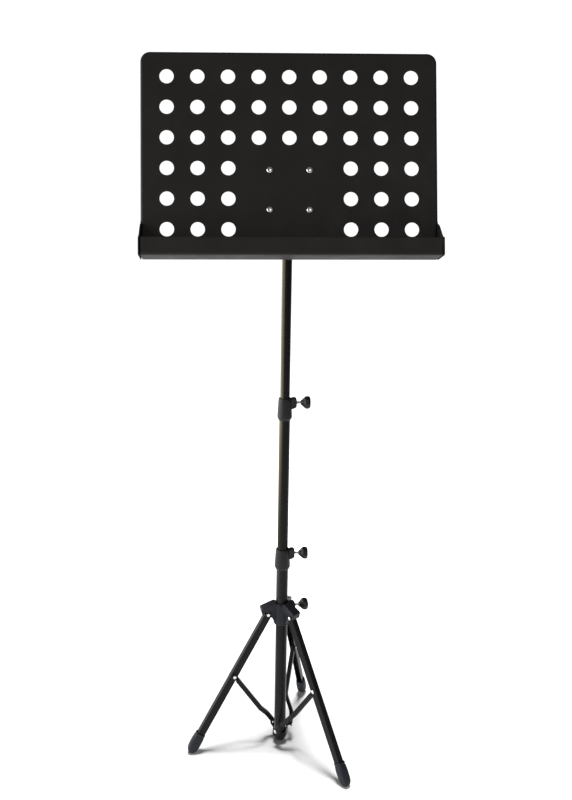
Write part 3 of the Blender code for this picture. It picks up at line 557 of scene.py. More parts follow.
def make_stop(node, body, tube_node):
    low, high = span(node)
    radius = radius_of(tube_node)
    fit, shoulder = radius - TUBE_WALL - GAP, low + 3 * MM
    outline = [
        (0.0, low), (radius - 0.8 * MM, low), (radius, low + 1 * MM), (radius, shoulder),
        (fit, shoulder), (fit, high - 0.8 * MM), (fit - 0.8 * MM, high), (0.0, high),
    ]
    add(node, body, NYLON, at(POLE, lathe(filleted(outline, 0.3 * MM, closed=False))))


def make_plug():
    low, high = span("bottom_plug")
    tube_low, _ = span("lower_tube")
    radius = radius_of("lower_tube")
    fit, top = radius - TUBE_WALL - GAP, tube_low - GAP
    rim = top - 1 * MM
    dome = [(r, rim + z * (rim - low) / radius) for r, z in arc((0.0, 0.0), radius, -90.0, 0.0, 18)]
    outline = [(0.0, low), *dome[1:], (radius, top), (fit, top), (fit, high), (0.0, high)]
    add("bottom_plug", "lower", RUBBER, at(POLE, lathe(outline)))


def boss_shape(start, end, height, half_width):
    """A clamp boss along +X, round at its upper outer corner and slanted below."""
    outline = [
        (start, height / 2), (end, height / 2), (end, -0.36 * height),
        (end - 2.5 * MM, -height / 2), (start, -height / 2 - 3 * MM),
    ]
    corner = filleted(outline, 4.6 * MM, 8)
    return prism(corner, -half_width, half_width, "Y")


def add_screw_hole(made, axis, boss_end, outer_wall):
    hole = rod_x(SCREW_HOLE_R, outer_wall - 6 * MM, boss_end + 5 * MM)
    pocket = rod_x(POCKET_R, boss_end - INSERT_LENGTH - GAP, boss_end + 5 * MM)
    cut(made, at(axis, joined(hole, pocket)))


def make_collar(node, body, outer_tube, inner_tube, screw_height):
    low, high = span(node)
    outer, inner = radius_of(outer_tube), radius_of(inner_tube)
    bore, mouth, shoulder = outer + GAP, inner + 0.4 * MM, high - 3 * MM
    outline = [
        (bore, low), (outer + 1.0 * MM, low), (outer + 3.4 * MM, low + 5 * MM),
        (outer + 3.3 * MM, low + 11 * MM), (outer + 1.9 * MM, high - 3.4 * MM),
        (outer + 1.3 * MM, high - 3.0 * MM), (outer + 1.3 * MM, high - 1.0 * MM),
        (outer + 0.5 * MM, high), (mouth, high), (mouth, shoulder), (bore, shoulder),
    ]
    made = mesh_object(node + "_fine", at(POLE, lathe(filleted(outline, 0.7 * MM, 3))))
    axis = POLE @ Matrix.Translation((0, 0, screw_height))
    boss_end = outer + BOSS_REACH
    boss = mesh_object("boss", at(axis, boss_shape(outer + 0.6 * MM, boss_end, 18 * MM, 6.6 * MM)))
    bevel(boss, 1.3 * MM, 3)
    join_meshes(made, boss)
    moulded(made, 0.34 * MM, 8)
    add_screw_hole(made, axis, boss_end, outer)
    piece(made, body, node, COLLAR_PLASTIC, **MOULDED)
    return boss_end


def join_meshes(target, *others):
    """Puts the others' meshes into the target's, overlapping."""
    bm = bmesh.new()
    for obj in (target, *others):
        bm.from_mesh(obj.data)
    bm.to_mesh(target.data)
    bm.free()
    for obj in others:
        bpy.data.objects.remove(obj, do_unlink=True)


def knob_shape(start, bore):
    """A fluted knob along +X: a narrow neck at the screw, and a dished outer face."""
    sides = KNOB_LOBES * 14
    stations = [  # share of the length, share of the radius, depth of the flutes as a share of the radius
        (0.00, 0.36, 0.00), (0.05, 0.40, 0.00), (0.16, 0.52, 0.01), (0.30, 0.72, 0.03), (0.44, 0.90, 0.05),
        (0.58, 0.985, 0.065), (0.74, 1.00, 0.07), (0.87, 0.95, 0.06), (0.96, 0.85, 0.035), (1.00, 0.72, 0.01),
    ]
    rows = smooth_rows(stations, 4)
    rows += [(0.99, 0.66, 0.0), (0.975, 0.62, 0.0), (0.965, 0.56, 0.0), (0.960, 0.20, 0.0)]
    rings = [ring_x(start + place, bore, sides) for place in (KNOB_SOCKET, 0.0)]
    for along, share, flute in rows:
        ring = []
        for i in range(sides):
            turn = 2 * math.pi * i / sides
            wave = 0.5 - 0.5 * math.cos(KNOB_LOBES * turn)
            r = KNOB_R * min(share, 1.0) * (1 - flute * wave**1.4)
            ring.append((start + KNOB_LENGTH * min(along, 1.0), r * math.cos(turn), r * math.sin(turn)))
        rings.append(ring)
    return lofted(rings, (start + KNOB_SOCKET, 0.0, 0.0), (start + 0.96 * KNOB_LENGTH, 0.0, 0.0))


def make_clamp(name, owner, axis, tip, boss_end):
    """Insert, screw and knob of one clamp, along +X of its axis."""
    bore, flange = INSERT_BORE, INSERT_R
    inside = boss_end - INSERT_LENGTH
    outline = [
        (bore, inside), (flange - 0.5 * MM, inside), (flange - 0.5 * MM, boss_end - 1.2 * MM),
        (flange, boss_end - 1.2 * MM), (flange, boss_end), (bore + 0.5 * MM, boss_end),
        (bore, boss_end - 0.5 * MM),
    ]
    add(name + "_insert", owner, BRASS, at(axis, lathe_x(filleted(outline, 0.15 * MM, 2), 48)))
    knob_start = boss_end + SHANK_SHOWN
    screw = threaded(SCREW_R, tip + 1.2 * MM, knob_start + 9 * MM, tip)
    add(name + "_screw", name, ZINC, at(axis, screw), sharp=60.0, weighted=False)
    add(name + "_knob", name, KNOB_PLASTIC, at(axis, knob_shape(knob_start, KNOB_BORE)), **MOULDED)


def make_pole():
    lower_screw = JOINTS["lower_clamp_turn"]["pos_m"][2]
    upper_screw = JOINTS["upper_clamp_turn"]["pos_m"][2]
    make_tube("lower_tube", "lower", lower_screw)
    make_tube("mid_tube", "mid", upper_screw)
    make_tube("upper_tube", "upper", None)
    make_stop("mid_tube_stop", "mid", "mid_tube")
    make_stop("upper_tube_stop", "upper", "upper_tube")
    make_plug()
    for name, body, outer, inner, height in (
        ("lower", "lower", "lower_tube", "mid_tube", lower_screw),
        ("upper", "mid", "mid_tube", "upper_tube", upper_screw),
    ):
        boss_end = make_collar(name + "_collar", body, outer, inner, height)
        axis = POLE @ Matrix.Translation((0, 0, height))
        make_clamp(name + "_clamp", body, axis, radius_of(inner) + 0.4 * MM, boss_end)


# ---------------------------------------------------------------- tripod


def azimuth(side):
    """The leg's direction from the pole, from the side-to-side axis of its hinge."""
    across, along, _ = JOINTS[f"leg_{side}_hinge"]["axis"]
    return math.atan2(-across, along)


def radial(side):
    """The leg's own frame: X away from the pole, Z up."""
    return POLE @ Matrix.Rotation(azimuth(side), 4, "Z")


LEG_RUN = Vector((FOOT_R - HUB_ARM_R, FOOT_Z - HUB_ARM_Z))
LEG_LENGTH = LEG_RUN.length
LEG_ANGLE = math.atan2(LEG_RUN.x, -LEG_RUN.y)
BRACE_DROP = BRACE_SHARE * LEG_LENGTH
BRACE_TOP = Vector((
    HUB_ARM_R + BRACE_DROP * math.sin(LEG_ANGLE) - BRACE_PIN_INSET * math.cos(LEG_ANGLE),
    HUB_ARM_Z - BRACE_DROP * math.cos(LEG_ANGLE) - BRACE_PIN_INSET * math.sin(LEG_ANGLE),
))
BRACE_RUN = BRACE_TOP - Vector((BRACE_BASE_R, BRACE_BASE_Z))
BRACE_LENGTH = BRACE_RUN.length
BRACE_ANGLE = math.atan2(BRACE_RUN.x, BRACE_RUN.y)


def hood_shape():
    """The roof of one hub arm, with a nose that drops in front of the leg."""
    under = HUB_ARM_Z + LEG_DEPTH / 2 + 0.8 * MM
    outline = [
        (12.0 * MM, under), (35.4 * MM, under),
        (36.4 * MM, HUB_ARM_Z + 2.4 * MM), (39.4 * MM, HUB_ARM_Z + 1.8 * MM),
        (41.5 * MM, HUB_ARM_Z + 12.6 * MM), (40.0 * MM, HUB_ARM_Z + 15.0 * MM),
        (22.0 * MM, HUB_ARM_Z + 22.2 * MM), (15.0 * MM, HUB_ARM_Z + 24.4 * MM),
        (12.0 * MM, HUB_ARM_Z + 24.8 * MM),
    ]
    return prism(filleted(outline, 1.6 * MM, 4), -9.1 * MM, 9.1 * MM, "Y")


def fin_shape():
    """The web under the hood, which holds the leg's pin, with a hollow lower edge."""
    under = HUB_ARM_Z + LEG_DEPTH / 2 + 1.6 * MM
    half = LEG_WIDTH / 2 - LEG_WALL - GAP
    outline = [
        (12.4 * MM, HUB_ARM_Z - 19.0 * MM), (15.6 * MM, HUB_ARM_Z - 16.5 * MM),
        (18.4 * MM, HUB_ARM_Z - 9.6 * MM), (22.6 * MM, HUB_ARM_Z - 5.4 * MM),
        *arc((HUB_ARM_R, HUB_ARM_Z), 5.0 * MM, -90.0, 60.0, 10),
        (30.0 * MM, under), (12.4 * MM, under),
    ]
    return prism(outline, -half, half, "Y")


def make_hub():
    low, _ = span("hub")
    tube = radius_of("lower_tube")
    bore, wall = tube + 0.4 * MM, tube + 4.3 * MM
    sleeve_top = HUB_ARM_Z + 22.5 * MM
    outline = [
        (bore, low), (wall - 0.8 * MM, low), (wall, low + 1.2 * MM), (wall, sleeve_top - 2.6 * MM),
        (wall - 1.4 * MM, sleeve_top - 1.8 * MM), (wall - 1.4 * MM, sleeve_top), (bore, sleeve_top),
    ]
    made = mesh_object("hub_fine", at(POLE, lathe(filleted(outline, 0.6 * MM, 3))))
    parts = []
    for side in SIDES:
        hood = mesh_object("hood_" + side, at(radial(side), hood_shape()))
        bevel(hood, 1.5 * MM, 3)
        fin = mesh_object("fin_" + side, at(radial(side), fin_shape()))
        parts += [hood, fin]
    clamp = JOINTS["hub_clamp_turn"]
    turn = math.atan2(clamp["axis"][1], clamp["axis"][0])
    axis = Matrix.Translation(clamp["pos_m"]) @ Matrix.Rotation(turn, 4, "Z")
    boss_end = tube + HUB_BOSS_REACH
    boss = mesh_object("hub_boss", at(axis, boss_shape(tube + 1.0 * MM, boss_end, 15 * MM, 6.6 * MM)))
    bevel(boss, 1.3 * MM, 3)
    join_meshes(made, *parts, boss)
    moulded(made, 0.42 * MM, 8)
    add_screw_hole(made, axis, boss_end, tube)
    for side in SIDES:
        spot = radial(side) @ Matrix.Translation((HUB_ARM_R, 0, HUB_ARM_Z))
        cut(made, at(spot, rod_y(PIN_HOLE_R, -9 * MM, 9 * MM)))
    piece(made, "hub", "hub", HUB_PLASTIC, **MOULDED)
    make_clamp("hub_clamp", "hub", axis, tube + 0.4 * MM, boss_end)


def channel_ring(width, depth, wall, height, shift, web):
    """Section of a folded channel with round bends. web is +1 or -1, the side of X that its web is on."""
    half, front, back = width / 2, depth / 2, -depth / 2
    corners = [(back, -half), (front, -half), (front, half), (back, half)]
    outer = filleted(corners, 1.7 * wall, 5, closed=False)
    inner = filleted(
        [(back, half - wall), (front - wall, half - wall), (front - wall, wall - half), (back, wall - half)],
        0.7 * wall, 5, closed=False,
    )
    return [(web * x, y + shift, height) for x, y in outer + inner]


def end_rounder(radius, up, half_width):
    """What a round end leaves off a bar: a rectangle less a half disc, in the XZ plane."""
    far = radius + 2 * MM
    outline = [(far, 0.0), *arc((0.0, 0.0), radius, 0.0, 180.0, 24), (-far, 0.0), (-far, far), (far, far)]
    return prism([(x, z if up else -z) for x, z in outline], -half_width, half_width, "Y")


def pin_shape(low, high, low_r=PIN_HEAD_R, high_r=PIN_HEAD_R):
    """A rivet along Y with a domed head at each end."""
    def dome(r, base, sign):
        rows = arc((0.0, 0.0), 1.0, 0.0, 90.0, 8)
        return [(r * c, base + sign * PIN_HEAD_H * (0.22 + 0.78 * s)) for c, s in rows]

    outline = [*reversed(dome(low_r, low, -1)), (low_r, low), (PIN_R, low)]
    outline += [(PIN_R, high), (high_r, high), *dome(high_r, high, 1)]
    outline[0], outline[-1] = (0.0, outline[0][1]), (0.0, outline[-1][1])
    return lathe_y(outline, 40)


def boot_shape():
    """Rubber boot round the leg's end: a beaded mouth, a barrel with shallow ribs and a rounded sole."""
    count, ribs = 96, 24
    stations = [  # height, half depth, half width, power, rib depth, in millimetres but for the power
        (38.0, 8.3, 7.4, 0.50, 0.0), (37.7, 8.9, 8.0, 0.52, 0.0), (36.8, 9.25, 8.3, 0.54, 0.0),
        (34.4, 9.25, 8.3, 0.55, 0.0), (33.5, 8.75, 7.9, 0.55, 0.0), (32.8, 8.75, 7.9, 0.56, 0.0),
        (31.6, 9.5, 8.5, 0.60, 0.1), (27.0, 10.2, 9.0, 0.62, 0.30), (19.0, 10.5, 9.2, 0.62, 0.32),
        (11.0, 10.3, 9.1, 0.62, 0.30), (5.0, 9.9, 8.9, 0.62, 0.12), (3.4, 9.7, 8.8, 0.62, 0.0),
        (0.0, 9.0, 8.3, 0.64, 0.0), (-4.0, 7.2, 6.9, 0.68, 0.0), (-6.4, 5.0, 4.8, 0.75, 0.0),
        (-7.4, 3.2, 2.9, 0.85, 0.0), (-7.6, 1.2, 1.1, 1.00, 0.0),
    ]
    rings = [
        round_box_ring(LEG_DEPTH / 2 + 0.25 * MM, LEG_WIDTH / 2 + 0.25 * MM, height, 0.16, count)
        for height in (LEG_END - GAP, BOOT_LENGTH - 0.6 * MM)
    ]
    for height, half_x, half_y, power, rib in smooth_rows(stations, 4):
        ring = []
        for i, (x, y, z) in enumerate(round_box_ring(half_x * MM, half_y * MM, height * MM, power, count)):
            groove = 1.0 - rib * MM / (half_x * MM) * (1.0 if i % (count // ribs) == 0 else 0.0)
            ring.append((x * groove, y * groove, z))
        rings.append(ring)
    return lofted(rings, (0.0, 0.0, LEG_END - GAP), (0.0, 0.0, -7.6 * MM))


def make_leg(side):
    body = "leg_" + side
    pivot = radial(side) @ Matrix.Translation((HUB_ARM_R, 0, HUB_ARM_Z))
    pivot = pivot @ Matrix.Rotation(-LEG_ANGLE, 4, "Y")
    brace_spot = pivot @ Matrix.Translation((-BRACE_PIN_INSET, 0, -BRACE_DROP))
    heights = (-LEG_LENGTH + LEG_END, LEG_DEPTH / 2)
    rings = [channel_ring(LEG_WIDTH, LEG_DEPTH, LEG_WALL, height, 0.0, 1) for height in heights]
    leg = mesh_object(body + "_fine", at(pivot, lofted(rings)))
    web_cut = filleted([
        (LEG_DEPTH / 2 - LEG_WALL - 0.2 * MM, -1.0 * MM), (LEG_DEPTH, -1.0 * MM),
        (LEG_DEPTH, LEG_DEPTH), (LEG_DEPTH / 2 - LEG_WALL - 0.2 * MM, LEG_DEPTH),
    ], 0.8 * MM)
    hole = rod_y(PIN_HOLE_R, -LEG_WIDTH, LEG_WIDTH)
    cut(
        leg,
        at(pivot, end_rounder(LEG_DEPTH / 2, True, LEG_WIDTH)),
        at(pivot, prism(web_cut, -LEG_WIDTH, LEG_WIDTH, "Y")),
        at(pivot, hole),
        at(brace_spot, hole),
    )
    piece(leg, body, body, CHANNEL_PAINT)
    grip = LEG_WIDTH / 2 + GAP
    for node, spot in (("hub_pin_" + side, pivot), ("brace_pin_" + side, brace_spot)):
        add(node, body, ZINC, at(spot, pin_shape(-grip, grip)))
    foot = pivot @ Matrix.Translation((0, 0, -LEG_LENGTH))
    add("boot_" + side, body, RUBBER, at(foot, boot_shape()), sharp=55.0, weighted=False)


def make_brace(side):
    node = "brace_" + side
    pivot = radial(side) @ Matrix.Translation((BRACE_BASE_R, 0, BRACE_BASE_Z))
    pivot = pivot @ Matrix.Rotation(BRACE_ANGLE, 4, "Y")
    reach = BRACE_DEPTH / 2
    low_bend, high_bend = BRACE_BEND
    rings, ease = [], 5.0 * MM
    stations = [(-reach, 0.0), (low_bend - ease, 0.0)]
    slope = 1.0 / (high_bend - low_bend)
    for i in range(1, 9):
        share = i / 8
        stations.append((low_bend - ease + 2 * ease * share, slope * ease * share**2))
    for i in range(8):
        share = i / 8
        stations.append((high_bend - ease + 2 * ease * share, 1.0 - slope * ease * (1 - share) ** 2))
    stations += [(high_bend + ease, 1.0), (BRACE_LENGTH + reach, 1.0)]
    for height, share in stations:
        shift = BRACE_OFFSET * (1.0 - share)
        rings.append(channel_ring(BRACE_WIDTH, BRACE_DEPTH, BRACE_WALL, height, shift, -1))
    brace = mesh_object(node + "_fine", at(pivot, lofted(rings)))
    slot = [
        (BRACE_DEPTH, BRACE_LENGTH + PIN_HOLE_R), *arc((0.0, BRACE_LENGTH), PIN_HOLE_R, 90.0, 180.0, 8),
        (-PIN_HOLE_R, BRACE_LENGTH - BRACE_SLOT), (BRACE_DEPTH, BRACE_LENGTH - BRACE_SLOT - PIN_HOLE_R),
    ]
    low = pivot @ Matrix.Translation((0, BRACE_OFFSET, 0))
    high = pivot @ Matrix.Translation((0, 0, BRACE_LENGTH))
    cut(
        brace,
        at(low, end_rounder(reach, False, BRACE_WIDTH)),
        at(high, end_rounder(reach, True, BRACE_WIDTH)),
        at(low, rod_y(PIN_HOLE_R, -BRACE_WIDTH, BRACE_WIDTH)),
        at(pivot, prism(slot, -BRACE_WIDTH, BRACE_WIDTH, "Y")),
    )
    piece(brace, node, node, CHANNEL_PAINT)
    spot = radial(side) @ Matrix.Translation((BRACE_BASE_R, 0, BRACE_BASE_Z))
    outer = TAB_INNER + TAB_WALL + 2 * GAP + BRACE_WIDTH
    pin = pin_shape(-outer, -TAB_INNER + GAP, PIN_HEAD_R, 3.0 * MM)
    add("base_pin_" + side, "lower", ZINC, at(spot, pin))


def make_base_bracket():
    low, high = span("base_bracket")[0], 28.0 * MM
    inner = radius_of("lower_tube") + GAP
    outer = TAB_INNER + 1.6 * MM
    ring = filleted([(inner, low), (outer, low), (outer, high), (inner, high)], 0.4 * MM, 3)
    made = mesh_object("base_bracket_fine", at(POLE, lathe(ring)))
    tab = [
        (-6.0 * MM, low + 0.4 * MM), (6.0 * MM, low + 0.4 * MM),
        (BRACE_BASE_R + 6.0 * MM, BRACE_BASE_Z - 3 * MM),
        *arc((BRACE_BASE_R, BRACE_BASE_Z), 6.2 * MM, -20.0, 170.0, 20), (-6.0 * MM, high - 0.4 * MM),
    ]
    for side in SIDES:
        wing = mesh_object("base_tab", at(radial(side), prism(tab, -TAB_INNER - TAB_WALL, -TAB_INNER, "Y")))
        bevel(wing, 0.35 * MM, 2, 60.0)
        unite(made, taken_shape(wing))
        spot = radial(side) @ Matrix.Translation((BRACE_BASE_R, 0, BRACE_BASE_Z))
        cut(made, at(spot, rod_y(PIN_HOLE_R, -TAB_INNER - 4 * MM, -TAB_INNER + 2 * MM)))
    piece(made, "lower", "base_bracket", CHANNEL_PAINT)


# ---------------------------------------------------------------- desk


def hole_spots():
    spots = []
    for row in range(HOLE_ROWS):
        for column in range(HOLE_COLUMNS):
            if row < HOLE_ROWS // 2 or abs(column - HOLE_COLUMNS // 2) > 1:
                x = (column - (HOLE_COLUMNS - 1) / 2) * HOLE_PITCH
                spots.append((x, ((HOLE_ROWS - 1) / 2 - row) * HOLE_PITCH))
    return spots


def rivet_spots():
    names = ("top_left", "top_right", "bottom_left", "bottom_right")
    places = [(x * RIVET_HALF_PITCH, RIVET_MIDDLE + z * RIVET_HALF_PITCH) for z in (1, -1) for x in (-1, 1)]
    return dict(zip(names, places))


def desk_edge_path():
    """(x, z, outward x, outward z) where the edge starts to bend, from the lower left round the top."""
    side, top = DESK_HALF - EDGE_BEND, DESK_TOP - DESK_CORNER_R
    radius, middle = DESK_CORNER_R - EDGE_BEND, DESK_HALF - DESK_CORNER_R
    low = DESK_BOTTOM + BEND_R
    right = [(side, low, 1.0, 0.0), (side, CHEEK_TOP, 1.0, 0.0)]
    corner = arc((0.0, 0.0), 1.0, 0.0, 90.0, 14)
    right += [(middle + radius * c, top + radius * s, c, s) for c, s in corner]
    left = [(-x, z, -outward, up) for x, z, outward, up in right]
    return [*left, *reversed(right)]


def edge_profile():
    """(outward, y) round the bent edge, from the front face to the back face."""
    bend, inner = EDGE_BEND, EDGE_BEND - SHEET
    outer_bend = [(bend * s, bend - bend * c) for c, s in arc((0.0, 0.0), 1.0, 0.0, 90.0, 6)]
    inner_bend = [(inner * s, bend - inner * c) for c, s in arc((0.0, 0.0), 1.0, 90.0, 0.0, 6)]
    tip = filleted(
        [(bend, EDGE_ROLL - 1 * MM), (bend, EDGE_ROLL), (inner, EDGE_ROLL), (inner, EDGE_ROLL - 1 * MM)],
        0.4 * MM, 3, closed=False,
    )
    return [*outer_bend, *tip, *inner_bend]


def shelf_profile():
    """(y, z) down the front face, round the shelf and the lip's hem, and back under it to the back face."""
    out, bend, inner = -SHELF_DEPTH, BEND_R, BEND_R - SHEET
    rear, front = (SHEET - bend, DESK_BOTTOM + bend), (out + bend, DESK_BOTTOM + bend)
    lip_top = DESK_BOTTOM + LIP_HEIGHT
    inside = arc(rear, inner, 0.0, -90.0, 8) + arc(front, inner, 270.0, 180.0, 8)
    hem = [
        (out + SHEET, lip_top - 7.4 * MM), (out + HEM, lip_top - 7 * MM),
        (out + HEM, lip_top), (out, lip_top),
    ]
    hem = filleted([inside[-1], *hem, (out, front[1])], 1.0 * MM, 5, closed=False)[1:-1]
    outside = arc(front, bend, 180.0, 270.0, 8) + arc(rear, bend, -90.0, 0.0, 8)
    return [*inside, *hem, *outside]


def circle(x, z, radius, sides):
    turns = [2 * math.pi * i / sides for i in range(sides)]
    return [(x + radius * math.cos(turn), z + radius * math.sin(turn)) for turn in turns]


def sheet_shape():
    """The folded sheet as one skin: both faces with their holes, the bent edge, the shelf and the lip."""
    path, across = desk_edge_path(), 12
    low, side = DESK_BOTTOM + BEND_R, DESK_HALF - EDGE_BEND
    boundary = [(x, z) for x, z, _, _ in path]
    bottom = [(side - 2 * side * i / across, low) for i in range(1, across)]
    loops = [boundary + bottom]
    holes = [(x, z, HOLE_R, HOLE_SIDES) for x, z in hole_spots()]
    holes += [(x, z, PIN_HOLE_R, 24) for x, z in rivet_spots().values()]
    loops += [circle(x, z, radius + HOLE_EDGE, sides) for x, z, radius, sides in holes]
    flat, edges = [], []
    for loop in loops:
        first = len(flat)
        flat += [Vector(point) for point in loop]
        edges += [(first + i, first + (i + 1) % len(loop)) for i in range(len(loop))]
    found, _, triangles, origins, _, _ = delaunay_2d_cdt(flat, edges, [], 1, 1e-9)
    index_of = {origin: index for index, several in enumerate(origins) for origin in several}

    def in_a_hole(face):
        middle = sum((found[i] for i in face), Vector((0.0, 0.0))) / len(face)
        return any(math.hypot(middle.x - x, middle.y - z) < radius for x, z, radius, _ in holes)

    triangles = [face for face in triangles if not in_a_hole(face)]
    count = len(found)
    points = [(v.x, 0.0, v.y) for v in found] + [(v.x, SHEET, v.y) for v in found]
    faces = [list(face) for face in triangles] + [[count + i for i in reversed(face)] for face in triangles]

    def skin(rows, closed):
        """Quads between rows of point indices."""
        for first, second in zip(rows, rows[1:]):
            last = len(first) if closed else len(first) - 1
            for i in range(last):
                j = (i + 1) % len(first)
                faces.append([first[i], first[j], second[j], second[i]])

    def row_of(new_points):
        points.extend(new_points)
        return list(range(len(points) - len(new_points), len(points)))

    start = len(loops[0])
    for x, z, radius, sides in holes:
        front = [index_of[start + i] for i in range(sides)]
        start += sides
        rows = [front]
        for extra, depth in (
            (0.29 * HOLE_EDGE, 0.29 * HOLE_EDGE), (0.0, HOLE_EDGE),
            (0.0, SHEET - HOLE_EDGE), (0.29 * HOLE_EDGE, SHEET - 0.29 * HOLE_EDGE),
        ):
            rows.append(row_of([(px, depth, pz) for px, pz in circle(x, z, radius + extra, sides)]))
        rows.append([count + i for i in front])
        skin(rows, True)

    front = [index_of[i] for i in range(len(path))]
    rows = [front]
    for outward, y in edge_profile()[1:-1]:
        rows.append(row_of([(x + nx * outward, y, z + nz * outward) for x, z, nx, nz in path]))
    rows.append([count + i for i in front])
    skin(rows, False)
    for end in (0, -1):
        faces.append([row[end] for row in rows])

    between = [index_of[len(path) + i] for i in range(across - 1)]
    bottom_front = [index_of[len(path) - 1], *between, index_of[0]]
    stations = [points[i][0] for i in bottom_front]
    rows = [bottom_front]
    for y, z in shelf_profile()[1:-1]:
        rows.append(row_of([(x, y, z) for x in stations]))
    rows.append([count + i for i in bottom_front])
    skin(rows, False)
    for end in (0, -1):
        faces.append([row[end] for row in rows])
    return points, faces


def cheek_shape(side):
    """End wall of the shelf: its hemmed upper edge falls from the desk to the lip in an S."""
    lip_top, out, steps = DESK_BOTTOM + LIP_HEIGHT, -SHELF_DEPTH, 24
    curve = []
    for i in range(steps + 1):
        share = i / steps
        drop = 0.5 - 0.5 * math.cos(math.pi * share)
        curve.append((out * share, CHEEK_TOP + (lip_top - CHEEK_TOP) * drop))
    foot = [
        *arc((out + BEND_R, DESK_BOTTOM + BEND_R), BEND_R, 180.0, 270.0, 6),
        *arc((SHEET - BEND_R, DESK_BOTTOM + BEND_R), BEND_R, -90.0, 0.0, 6),
    ]
    rear = EDGE_BEND + 0.6 * MM
    outline = [*curve, *foot, (SHEET, DESK_BOTTOM + BEND_R + 1 * MM), (rear, DESK_BOTTOM + BEND_R + 1 * MM),
               (rear, CHEEK_TOP + 5 * MM), (0.8 * MM, CHEEK_TOP + 5 * MM)]
    low, high = sorted((side * DESK_HALF, side * (DESK_HALF - CHEEK_WALL)))
    return prism(outline, low, high, "X")


def make_sheet():
    made = mesh_object("desk_plate_fine", at(DESK, sheet_shape()))
    ends = []
    for side in (-1, 1):
        end = mesh_object("cheek", at(DESK, cheek_shape(side)))
        bevel(end, 0.55 * MM, 3, 50.0)
        ends.append(end)
    join_meshes(made, *ends)
    front = DESK.to_3x3() @ Vector((0.0, 1.0, 0.0))
    piece(made, "desk", "desk_plate", POWDER_COAT, sharp=32.0, weighted=False)
    for polygon in made.data.polygons:
        if abs(polygon.normal.dot(front)) > 0.99999:
            polygon.use_smooth = False


def make_desk_rivets():
    """Each has a domed head on the desk's face and a smaller one behind the bracket."""
    grip = SHEET + BRACKET_WALL + 2 * GAP
    head_r, head_h, tail_r = 5.2 * MM, 2.2 * MM, 3.5 * MM
    quarter = arc((0.0, 0.0), 1.0, 0.0, 90.0, 12)
    front = [(head_r * c, -GAP - head_h * s) for c, s in quarter]
    tail = [(tail_r * c, grip + PIN_HEAD_H * s) for c, s in quarter]
    front[-1], tail[-1] = (0.0, front[-1][1]), (0.0, tail[-1][1])
    outline = [*reversed(front), (PIN_R, -GAP), (PIN_R, grip), *tail]
    for name, (x, z) in rivet_spots().items():
        node = "desk_rivet_" + name
        spot = DESK @ Matrix.Translation((x, 0, z))
        add(node, "desk", ZINC, at(spot, lathe_y(outline, 48)))


def make_bracket():
    """Plate riveted behind the desk, with rounded corners, and two ears that reach back to the tilt bolt."""
    front, back, end = SHEET + GAP, SHEET + GAP + BRACKET_WALL, PLATE_FROM_PIVOT
    half = BRACKET_HALF
    outline = filleted([
        (-half, RIVET_MIDDLE - half), (half, RIVET_MIDDLE - half),
        (half, RIVET_MIDDLE + half), (-half, RIVET_MIDDLE + half),
    ], 7.0 * MM, 8)
    made = mesh_object("desk_bracket_fine", at(DESK, prism(outline, front, back, "Y")))
    bevel(made, 0.3 * MM, 2)
    fillet = 4.0 * MM
    root = front + 0.5 * MM
    for side in (-1, 1):
        ear = [
            (root, RIVET_MIDDLE - EAR_ROOT_HALF), (back + fillet, RIVET_MIDDLE - EAR_ROOT_HALF + fillet),
            *arc((end, RIVET_MIDDLE), HEAD_TAB_R, -75.0, 75.0, 20),
            (back + fillet, RIVET_MIDDLE + EAR_ROOT_HALF - fillet), (root, RIVET_MIDDLE + EAR_ROOT_HALF),
        ]
        low, high = sorted((side * EAR_INNER, side * (EAR_INNER + EAR_WALL)))
        wing = mesh_object("ear", at(DESK, prism(ear, low, high, "X")))
        bevel(wing, 0.35 * MM, 2, 60.0)
        unite(made, taken_shape(wing))
    holes = [at(DESK @ Matrix.Translation((0, end, RIVET_MIDDLE)), rod_x(BOLT_R + GAP, -18 * MM, 18 * MM))]
    for x, z in rivet_spots().values():
        holes.append(at(DESK @ Matrix.Translation((x, 0, z)), rod_y(PIN_HOLE_R, 0.0, 6 * MM)))
    cut(made, *holes)
    piece(made, "desk", "desk_bracket", POWDER_COAT)


def make_head():
    """Socket over the upper tube with a flat tab on top, moulded in one."""
    low, _ = span("tilt_head")
    top = TILT_SPOT.z - 18.0 * MM
    outer, bore = radius_of("tilt_head"), radius_of("upper_tube") + GAP
    ceiling = top - 2.4 * MM
    outline = [
        (0.0, ceiling), (bore, ceiling), (bore, low), (outer - 0.8 * MM, low), (outer, low + 0.8 * MM),
        (outer, low + 4.0 * MM), (outer - 0.5 * MM, low + 4.6 * MM), (outer - 0.5 * MM, top - 1.5 * MM),
        (outer - 1.7 * MM, top), (0.0, top),
    ]
    made = mesh_object("tilt_head_fine", at(POLE, lathe(filleted(outline, 0.5 * MM, 3, closed=False))))
    half = HEAD_TAB_R - 1.5 * MM
    tab = [(-half, -20.0 * MM), (half, -20.0 * MM), *arc((0.0, 0.0), HEAD_TAB_R, 0.0, 180.0, 32)]
    axis = Matrix.Translation(TILT_SPOT)
    wing = mesh_object("tab", at(axis, prism(tab, -HEAD_TAB_HALF, HEAD_TAB_HALF, "X")))
    bevel(wing, 0.8 * MM, 3)
    join_meshes(made, wing)
    moulded(made, 0.34 * MM, 6)
    cut(made, at(axis, rod_x(BOLT_R + GAP, -10 * MM, 10 * MM)))
    piece(made, "head", "tilt_head", COLLAR_PLASTIC, **MOULDED)


